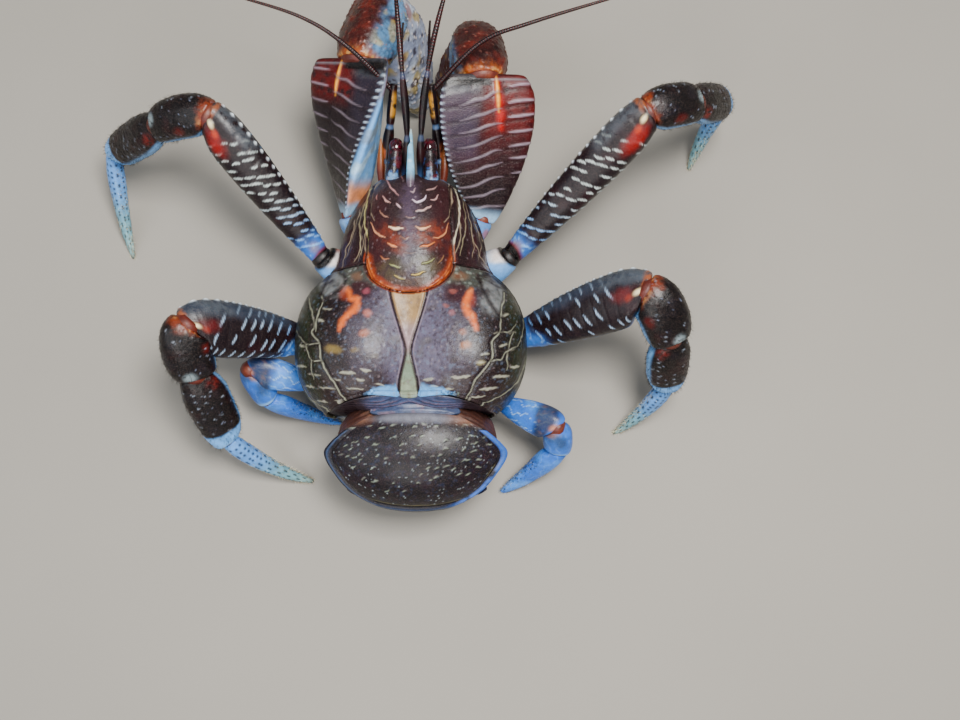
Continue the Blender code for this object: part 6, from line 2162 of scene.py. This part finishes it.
# Radii along the tubes: station and radius.
EYESTALK_FORM = ((0, 3.3), (0.3, 3.6), (0.7, 3.3), (0.94, 3.25), (1, 2.7))
ANTENNA_FORM = (
    (0, 2.3), (0.3, 2.2), (0.32, 1.95), (0.36, 2.2), (0.62, 2.0), (0.64, 1.75), (0.68, 1.95), (1, 1.75)
)
WHIP_FORM = ((0, 1.3), (0.5, 0.9), (1, 0.5))
SCALE_FORM = ((0, 1.6), (0.5, 1.9), (1, 0.3))
ANTENNULE_FORM = (
    (0, 1.7), (0.24, 1.5), (0.26, 1.2), (0.3, 1.45), (0.52, 1.25), (0.54, 1.0), (0.6, 1.2), (1, 0.6)
)
FORK_FORM = ((0, 0.8), (1, 0.48))
MOUTH_LEG_FORM = (
    (0, 3.7), (0.3, 3.6), (0.33, 3.1), (0.37, 3.4), (0.64, 2.7), (0.67, 2.3), (0.72, 2.5), (1, 1.3)
)
ROSTRUM_FORM = ((0, 1.6), (0.35, 1.9), (0.6, 1.5), (0.85, 0.95), (1, 0.3))
ROSTRUM_LINE = ((0, -66, 72.4), (-0.2, -79, 73.6), (0, -90, 73.0), (0, -101, 71))
# Waves in a millimetre of a whip's rings and of an antennule's.
WHIP_RINGS, ANTENNULE_RINGS = 5.2, 4.5
# An eye: half sizes across, up and along, how far it stands out of its stalk, and where its ball is cut.
EYE_HALVES, EYE_OUT, EYE_CUT = (3.5, 3.9, 4.6), 0.3, -0.35


def tube(points, radii, sides, spacing, relief=None, flat=1.0):
    """Rings, distances along and directions of a round tube through points, its radius given along it."""
    points = vec(points)
    line = np.column_stack([np.linspace(0, 1, len(points)), points])
    fine = through(line, np.linspace(0, 1, 400))
    run = np.concatenate([[0], np.cumsum(np.linalg.norm(np.diff(fine, axis=0), axis=1))])
    count = max(8, int(run[-1] / spacing))
    along = np.linspace(0, run[-1], count)
    centres = np.stack([np.interp(along, run, fine[:, k]) for k in range(3)], -1)
    ways = unit(np.gradient(centres, axis=0))
    angles = np.linspace(0, 2 * np.pi, sides, endpoint=False)
    out = unit(np.cross((0, 0, 1), ways))
    up = np.cross(ways, out)
    radius = through(radii, along / run[-1])[:, 0]
    if relief is not None:
        radius = radius + relief(along)
    ring = np.cos(angles)[None, :, None] * out[:, None] + flat * np.sin(angles)[None, :, None] * up[:, None]
    return centres[:, None] + ring * radius[:, None, None], along, run[-1]


def painted_tube(name, nodes, parts, material, slot):
    """One piece from several tubes: rings with their colours, and how rough each tube is."""
    points, quads, fans, colours, roughs = [], [], [], [], []
    total = 0
    for rings, colour, rough in parts:
        new, groups, shades, dull = capped(rings, colour, rough)
        volume = np.cross(rings[0], np.roll(rings[0], -1, 0)).sum(0) @ (rings[1].mean(0) - rings[0].mean(0))
        groups = [group if volume < 0 else group[:, ::-1] for group in groups]
        points.append(new)
        quads.append(groups[0] + total)
        fans.append(groups[1] + total)
        colours.append(shades)
        roughs.append(dull)
        total += len(new)
    faces = [np.concatenate(quads), np.concatenate(fans)]
    obj = build(
        name, np.concatenate(points), faces, material, np.concatenate(colours), np.concatenate(roughs)
    )
    placed(obj, *nodes, slot=slot)


def toned(rings, base, *washes):
    """A grid of one colour with other colours laid over it: (code, share for each ring)."""
    colour = plain(base, rings.shape[0] * rings.shape[1])
    for code, share in washes:
        share = np.asarray(share, float)
        share = np.repeat(share, rings.shape[1]) if share.ndim == 1 else share.reshape(-1)
        colour = washed(colour, code, share)
    return colour.reshape(rings.shape)


def ring_noise(rings, size, seed, octaves=3):
    """Noise for each point of a grid of rings."""
    return noise(rings.reshape(-1, 3), size, seed, octaves).reshape(rings.shape[:2])


def make_eyes():
    """Eyestalks with their glossy eyes."""
    for side, (root, tip) in EYESTALKS.items():
        way = unit(vec(tip) - vec(root))
        seat = vec(tip) - way * 5
        rings, along, length = tube(
            (root, (vec(root) + seat) / 2 + (0, 0, 0.6), seat), EYESTALK_FORM, 56, 0.35, flat=1.15
        )
        wander = ring_noise(rings, 3, 251)
        share = np.repeat((along / length)[:, None], 56, 1)
        spots = smooth(0.25, 0.5, ring_noise(rings, 1.5, 253, 2))
        colour = toned(
            rings, "#20141e", ("#7a2a3c", 0.6 * smooth(0.0, 0.5, wander)),
            ("#7fa8d0", 0.85 * smooth(0.28, 0.14, share + 0.3 * wander + 0.25 * spots)),
            ("#4a74b0", 0.6 * spots * smooth(0.9, 0.5, share)),
            ("#d8e4ee", 0.5 * spots * smooth(0.3, 0.1, share)),
        )
        painted_tube(
            f"eyestalk_{side}_shell", [f"eyestalk_{side}"], [(rings, colour, 0.3)], LIMB, "dark_shell"
        )
        turns = np.linspace(-0.99, 0.99, 60) * np.pi / 2
        angles = np.linspace(0, 2 * np.pi, 72, endpoint=False)
        out = unit(np.cross((0, 0, 1), way))
        up = np.cross(way, out)
        ring = np.cos(angles)[:, None] * out * EYE_HALVES[0] + np.sin(angles)[:, None] * up * EYE_HALVES[1]
        balls = seat + way * EYE_OUT + way * (np.sin(turns) * EYE_HALVES[2])[:, None, None]
        balls = balls + ring[None] * np.cos(turns)[:, None, None]
        balls = balls[turns > EYE_CUT]
        facets = smooth(-0.2, 0.5, ring_noise(balls, 1.2, 257, 2))
        colour = toned(
            balls, "#3a0818", ("#7c1030", 0.6 * facets),
            ("#0c0408", smooth(-0.1, -0.3, np.sin(turns[turns > EYE_CUT])))
        )
        painted_tube(f"eye_{side}_glaze", [f"eye_{side}"], [(balls, colour, 0.08)], EYE, "eye")


def make_feelers():
    """Antennae with ringed whips, antennules with their short branches, and the mouth legs."""
    for side, (stalk, whip) in ANTENNAE.items():
        sign = SIDES[side]
        rings, along, length = tube(stalk, ANTENNA_FORM, 40, 0.35)
        share = along / length
        wander = ring_noise(rings, 3, 261)
        joints = smooth(0.03, 0.01, np.abs(share - 0.32)) + smooth(0.03, 0.01, np.abs(share - 0.64))
        outer = rings[..., 0] * sign > rings[..., 0].mean(1, keepdims=True) * sign + 0.4
        warm = smooth(0.06, 0.14, share) * smooth(0.52, 0.42, share)
        colour = toned(
            rings, "#1e1016", ("#4a1c1e", 0.6 * smooth(0, 0.5, wander)),
            ("#b0683a", 0.75 * warm[:, None] * outer * smooth(-0.4, 0.1, wander)),
            (
                "#c8983c",
                0.8 * (smooth(0.7, 0.76, share) * smooth(0.98, 0.9, share))[:, None] * ~outer
                * smooth(-0.5, 0.0, wander)
            ),
            ("#6f8cb0", 0.55 * joints), ("#7fb0dc", 0.8 * smooth(0.08, 0.02, share)),
        )
        parts = [(rings, colour, 0.34)]
        start = vec(stalk[-1]) - unit(vec(stalk[-1]) - vec(stalk[-2])) * 3
        rings, along, length = tube(
            (start, *whip), WHIP_FORM, 16, 0.28, lambda s: 0.07 * np.sin(s * WHIP_RINGS)
        )
        band = smooth(0.2, 0.9, np.sin(along * WHIP_RINGS))
        colour = toned(
            rings, "#1c0c10", ("#5a2226", 0.8 * band),
            ("#9c6a58", 0.4 * smooth(0.8, 1, band) * smooth(0.2, 0.9, along / length))
        )
        parts.append((rings, colour, 0.36))
        tip = vec(stalk[1]) + (sign * 2.4, -7, 5)
        rings, along, length = tube(
            (vec(stalk[0]) + (0, -3, 1), (vec(stalk[0]) + tip) / 2 + (sign * 0.8, 0, 0), tip), SCALE_FORM, 24,
            0.4
        )
        colour = toned(rings, "#6a3424", ("#b98048", 0.6 * smooth(0.3, 0.9, along / length)))
        parts.append((rings, colour, 0.4))
        painted_tube(f"antenna_{side}_shell", [f"antenna_{side}"], parts, FEELER, "feeler")
    for side, line in ANTENNULES.items():
        ringed = lambda s: 0.05 * np.sin(s * ANTENNULE_RINGS)
        rings, along, length = tube(line, ANTENNULE_FORM, 24, 0.3, lambda s: ringed(s) * smooth(45, 60, s))
        share = along / length
        band = smooth(0.2, 0.9, np.sin(along * ANTENNULE_RINGS)) * smooth(45, 60, along)
        wander = ring_noise(rings, 4, 271)
        colour = toned(
            rings, "#160c12", ("#45181c", 0.6 * smooth(0, 0.5, wander)), ("#6a2c2a", 0.6 * band),
            ("#5f86b8", 0.7 * smooth(0.14, 0.04, share)),
            (
                "#6a80a0",
                0.4 * (smooth(0.02, 0.008, np.abs(share - 0.25)) + smooth(0.02, 0.008, np.abs(share - 0.53)))
            ),
        )
        parts = [(rings, colour, 0.34)]
        fork = vec(line[-3])
        rings, along, length = tube(
            (fork, fork + (0, -14, -1), fork + (0, -24, -7)), FORK_FORM, 16, 0.3, ringed
        )
        parts.append((rings, toned(rings, "#30161a"), 0.36))
        painted_tube(f"antennule_{side}_shell", [f"antennule_{side}"], parts, FEELER, "feeler")
    for side, line in MOUTH_LEGS.items():
        rings, along, length = tube(line, MOUTH_LEG_FORM, 40, 0.4)
        share = along / length
        wander = ring_noise(rings, 4, 281)
        joints = smooth(0.04, 0.015, np.abs(share - 0.33)) + smooth(0.04, 0.015, np.abs(share - 0.67))
        colour = toned(
            rings, "#4a6a98", ("#a8b8c8", 0.5 * smooth(0, 0.5, wander)),
            ("#b06a48", 0.6 * smooth(0.2, 0.6, -wander)), ("#c8785a", 0.8 * joints)
        )
        painted_tube(
            f"mouth_leg_{side}_shell", [f"mouth_leg_{side}"], [(rings, colour, 0.4)], LIMB, "blue_shell"
        )


def make_rostrum():
    """The pale beak between the eyes, with the low ridge that runs back from it."""
    rings, along, length = tube(ROSTRUM_LINE, ROSTRUM_FORM, 40, 0.35)
    share = along / length
    wander = ring_noise(rings, 3, 291)
    colour = toned(
        rings, "#8fc4dc", ("#d6e8f0", 0.6 * smooth(0.0, 0.5, wander)),
        ("#5c90b0", 0.5 * smooth(0.0, 0.6, -wander)),
        ("#6a5560", 0.95 * smooth(0.42, 0.22, share)), ("#e0d2b8", 0.5 * smooth(0.85, 1, share)),
    )
    painted_tube("rostrum_spine", [], [(rings, colour, 0.36)], SHELL, "pale_blue_shell")


make_eyes()
make_feelers()
make_rostrum()


def tufts(name, roots, ways, lengths, thickness, shades, seed, body_slot):
    """One piece of many bent three-sided hairs, with a map that keeps each tuft near its root's own place."""
    rng = np.random.default_rng(seed)
    count, levels = len(roots), 4
    side = unit(np.cross(ways, rng.normal(size=(count, 3))))
    other = np.cross(ways, side)
    share = np.linspace(0, 1, levels)
    bend = rng.uniform(-0.35, 0.35, (count, 1)) * lengths[:, None]
    centres = roots[:, None] + ways[:, None] * (
        lengths[:, None] * share
    )[..., None] + side[:, None] * (bend * share**2)[..., None]
    centres[..., 2] = np.maximum(centres[..., 2], 0.1)
    radius = thickness * (1 - 0.92 * share)
    turn = np.arange(3) * 2 * np.pi / 3
    ring = np.cos(turn)[:, None] * side[:, None] + np.sin(turn)[:, None] * other[:, None]
    rings = centres[:, :, None] + ring[:, None] * radius[None, :, None, None]
    base = np.arange(count)[:, None, None] * levels * 3
    row = np.arange(levels - 1)[None, :, None] * 3
    column = np.arange(3)[None, None]
    after = (column + 1) % 3
    quads = np.stack(
        [base + row + column, base + row + after, base + row + 3 + after, base + row + 3 + column], -1
    ).reshape(-1, 4)
    start = np.arange(count)[:, None] * levels * 3
    ends = np.concatenate([start + [[0, 2, 1]], start + (levels - 1) * 3 + [[0, 1, 2]]])
    points = rings.reshape(-1, 3)
    tones = ink(shades[0]) * (1 - rng.random((count, 1))) + ink(shades[1]) * rng.random((count, 1))
    colours = np.repeat(tones, levels * 3, 0)
    obj = build(name, points, [quads, ends], BRISTLE, colours, np.full(len(points), 0.5))
    middle = roots.mean(0)
    span = np.ptp(roots, axis=0)
    axes = np.argsort(span)[::-1]
    along = (roots[:, axes[0]] - roots[:, axes[0]].min()) / max(span[axes[0]], 1)
    around = (
        np.arctan2(roots[:, axes[1]] - middle[axes[1]], roots[:, axes[2]] - middle[axes[2]]) / (2 * np.pi)
    ) + 0.5
    place = np.stack([0.01 + 0.97 * along, 0.01 + 0.97 * around], -1)
    patch = np.repeat(place[:, None], levels * 3, 1).reshape(-1, 2)
    offset = np.stack([np.tile(column.ravel() / 2, levels), np.repeat(share, 3)], -1) * 0.003
    patch = patch + np.tile(offset, (count, 1))
    layer = obj.data.uv_layers.new(name="OFBake")
    corners = np.empty(len(obj.data.loops), np.int32)
    obj.data.loops.foreach_get("vertex_index", corners)
    layer.data.foreach_set("uv", patch[corners].astype(np.float32).reshape(-1))
    placed(obj, slot=body_slot)


def hairs_on(grid, ways, count, seed, first, last, weight=None):
    """Roots and outward ways picked from a limb's grid, between two shares of its length."""
    rng = np.random.default_rng(seed)
    rows, columns = grid.shape[:2]
    chance = np.ones((rows, columns)) if weight is None else weight
    chance = chance * ((np.arange(rows) / rows > first) & (np.arange(rows) / rows < last))[:, None]
    picked = rng.choice(rows * columns, count, p=(chance / chance.sum()).reshape(-1))
    roots, out = grid.reshape(-1, 3)[picked], ways.reshape(-1, 3)[picked]
    along = unit(grid[-1].mean(0) - grid[0].mean(0))
    lean = unit(out + 0.9 * along + 0.35 * rng.normal(size=(count, 3)))
    return roots - out * 0.15, lean


def edge_weight(grid, power, floor):
    """Weights for a limb's grid that favour its two edges."""
    turn = np.arange(grid.shape[1]) / grid.shape[1] * 2 * np.pi
    return np.repeat((np.abs(np.sin(turn)) ** power + floor)[None], grid.shape[0], 0)


def bristles_on(limb, part, suffix, count, reach, lengths, thickness, shades, seeds, slot, edges=None):
    """One coat on one article: how many hairs, from where to where on it, and how long."""
    grid, ways = SKINS[limb, part]
    roots, leans = hairs_on(grid, ways, count, seeds[0], *reach, edge_weight(grid, *edges) if edges else None)
    long = np.random.default_rng(seeds[0]).uniform(*lengths, count)
    tufts(f"{limb}_{suffix}", roots, leans, long, thickness, shades, seeds[1], slot)


def limb_bristles():
    """Short stiff hairs of the outer articles and the longer pale ones of the walking claws."""
    seed = 7000
    for leg in WALKING_LEGS:
        coats = []
        for part, count, long in (("carpus", 420, 1.9), ("propodus", 700, 1.8)):
            roots, leans = hairs_on(*SKINS[leg, part], count, seed, 0.06, 0.95)
            coats.append((roots, leans, np.random.default_rng(seed).uniform(0.6, 1.2, count) * long))
            seed += 1
        coat = (np.concatenate(group) for group in zip(*coats))
        tufts(f"{leg}_bristles", *coat, 0.09, ("#0c0709", "#33241c"), seed, "dark_shell")
        bristles_on(
            leg, "dactyl", "tip_hairs", 620, (0.1, 0.97), (0.9, 2.1), 0.07, ("#e6e4d2", "#b9a274"),
            (seed + 1, seed), "pale_blue_shell", (6, 0.12),
        )
        seed += 5
    for leg in SMALL_LEGS:
        bristles_on(
            leg, "hand", "bristles", 520, (0.25, 0.98), (0.8, 1.7), 0.08, ("#101820", "#c8d4dc"),
            (seed, seed),
            "pale_blue_shell", (4, 0.1),
        )
        seed += 5
    for claw in CLAWS:
        bristles_on(
            claw, "carpus", "bristles", 360, (0.1, 0.95), (0.8, 1.6), 0.09, ("#1a0e0c", "#a07850"),
            (seed, seed),
            "red_shell",
        )
        seed += 5


limb_bristles()


# Metres from here on. Lamps: place, target, size, power and colour.
LAMPS = {
    "key": ((-0.2, 0.02, 0.95), (0, 0, 0.04), 0.3, 17, (1.0, 0.98, 0.95)),
    "fill": ((0.75, 0.35, 0.8), (0, 0, 0.04), 0.9, 6, (0.9, 0.95, 1.0)),
    "back": ((0.1, 0.9, 0.75), (0, 0, 0.05), 0.6, 6, (1.0, 0.98, 0.96)),
}
FLOOR_REACH = 3.0
SKY_STRENGTH = 0.34


def area_light(name, place, target, size, power, colour):
    """A soft square lamp that looks at a target."""
    lamp = bpy.data.lights.new(name, "AREA")
    lamp.shape = "SQUARE"
    lamp.size = size
    lamp.energy = power
    lamp.color = colour
    obj = bpy.data.objects.new(name, lamp)
    bpy.context.scene.collection.objects.link(obj)
    obj.location = place
    obj.rotation_mode = "QUATERNION"
    obj.rotation_quaternion = (Vector(target) - Vector(place)).to_track_quat("-Z", "Y")
    return obj


def make_stage():
    """The pale floor, the lamps and the sky's light."""
    mesh = bpy.data.meshes.new("floor")
    corners = [(-FLOOR_REACH, -FLOOR_REACH, 0), (FLOOR_REACH, -FLOOR_REACH, 0)]
    corners += [(FLOOR_REACH, FLOOR_REACH, 0), (-FLOOR_REACH, FLOOR_REACH, 0)]
    mesh.from_pydata(corners, [], [(0, 1, 2, 3)])
    floor = bpy.data.objects.new("floor", mesh)
    bpy.context.scene.collection.objects.link(floor)
    material = bpy.data.materials.new("floor_paper")
    material.use_nodes = True
    tree = material.node_tree
    shader = tree.nodes["Principled BSDF"]
    place = add_node(tree, "ShaderNodeTexCoord").outputs["Object"]
    cloud = add_node(tree, "ShaderNodeTexNoise", (("Vector", place), ("Scale", 6.0), ("Detail", 3.0)))
    tone = add_node(tree, "ShaderNodeMix", (("Factor", cloud.outputs["Fac"]),), data_type="RGBA")
    socket(tree, tone, 6, (*ink("#8b867d"), 1))
    socket(tree, tone, 7, (*ink("#969188"), 1))
    tree.links.new(tone.outputs[2], shader.inputs["Base Color"])
    shader.inputs["Roughness"].default_value = 0.75
    mesh.materials.append(material)
    for lamp, facts in LAMPS.items():
        area_light(lamp, *facts)
    world = bpy.data.worlds.new("studio")
    bpy.context.scene.world = world
    world.use_nodes = True
    sky = world.node_tree.nodes["Background"]
    sky.inputs["Color"].default_value = (*ink("#dfe6ee"), 1)
    sky.inputs["Strength"].default_value = SKY_STRENGTH


def make_camera():
    """The camera of the photograph."""
    data = bpy.data.cameras.new("camera")
    data.sensor_width = 36
    data.lens = FOCAL / IMAGE[0] * data.sensor_width
    data.clip_start, data.clip_end = 0.01, 10
    camera = bpy.data.objects.new("camera", data)
    bpy.context.scene.collection.objects.link(camera)
    turn = Matrix([VIEW_RIGHT, VIEW_UP, -VIEW_AHEAD]).transposed().to_4x4()
    camera.matrix_world = Matrix.Translation(Vector((CAMERA_PLACE + STAND) * MM)) @ turn
    bpy.context.scene.camera = camera


make_stage()
make_camera()
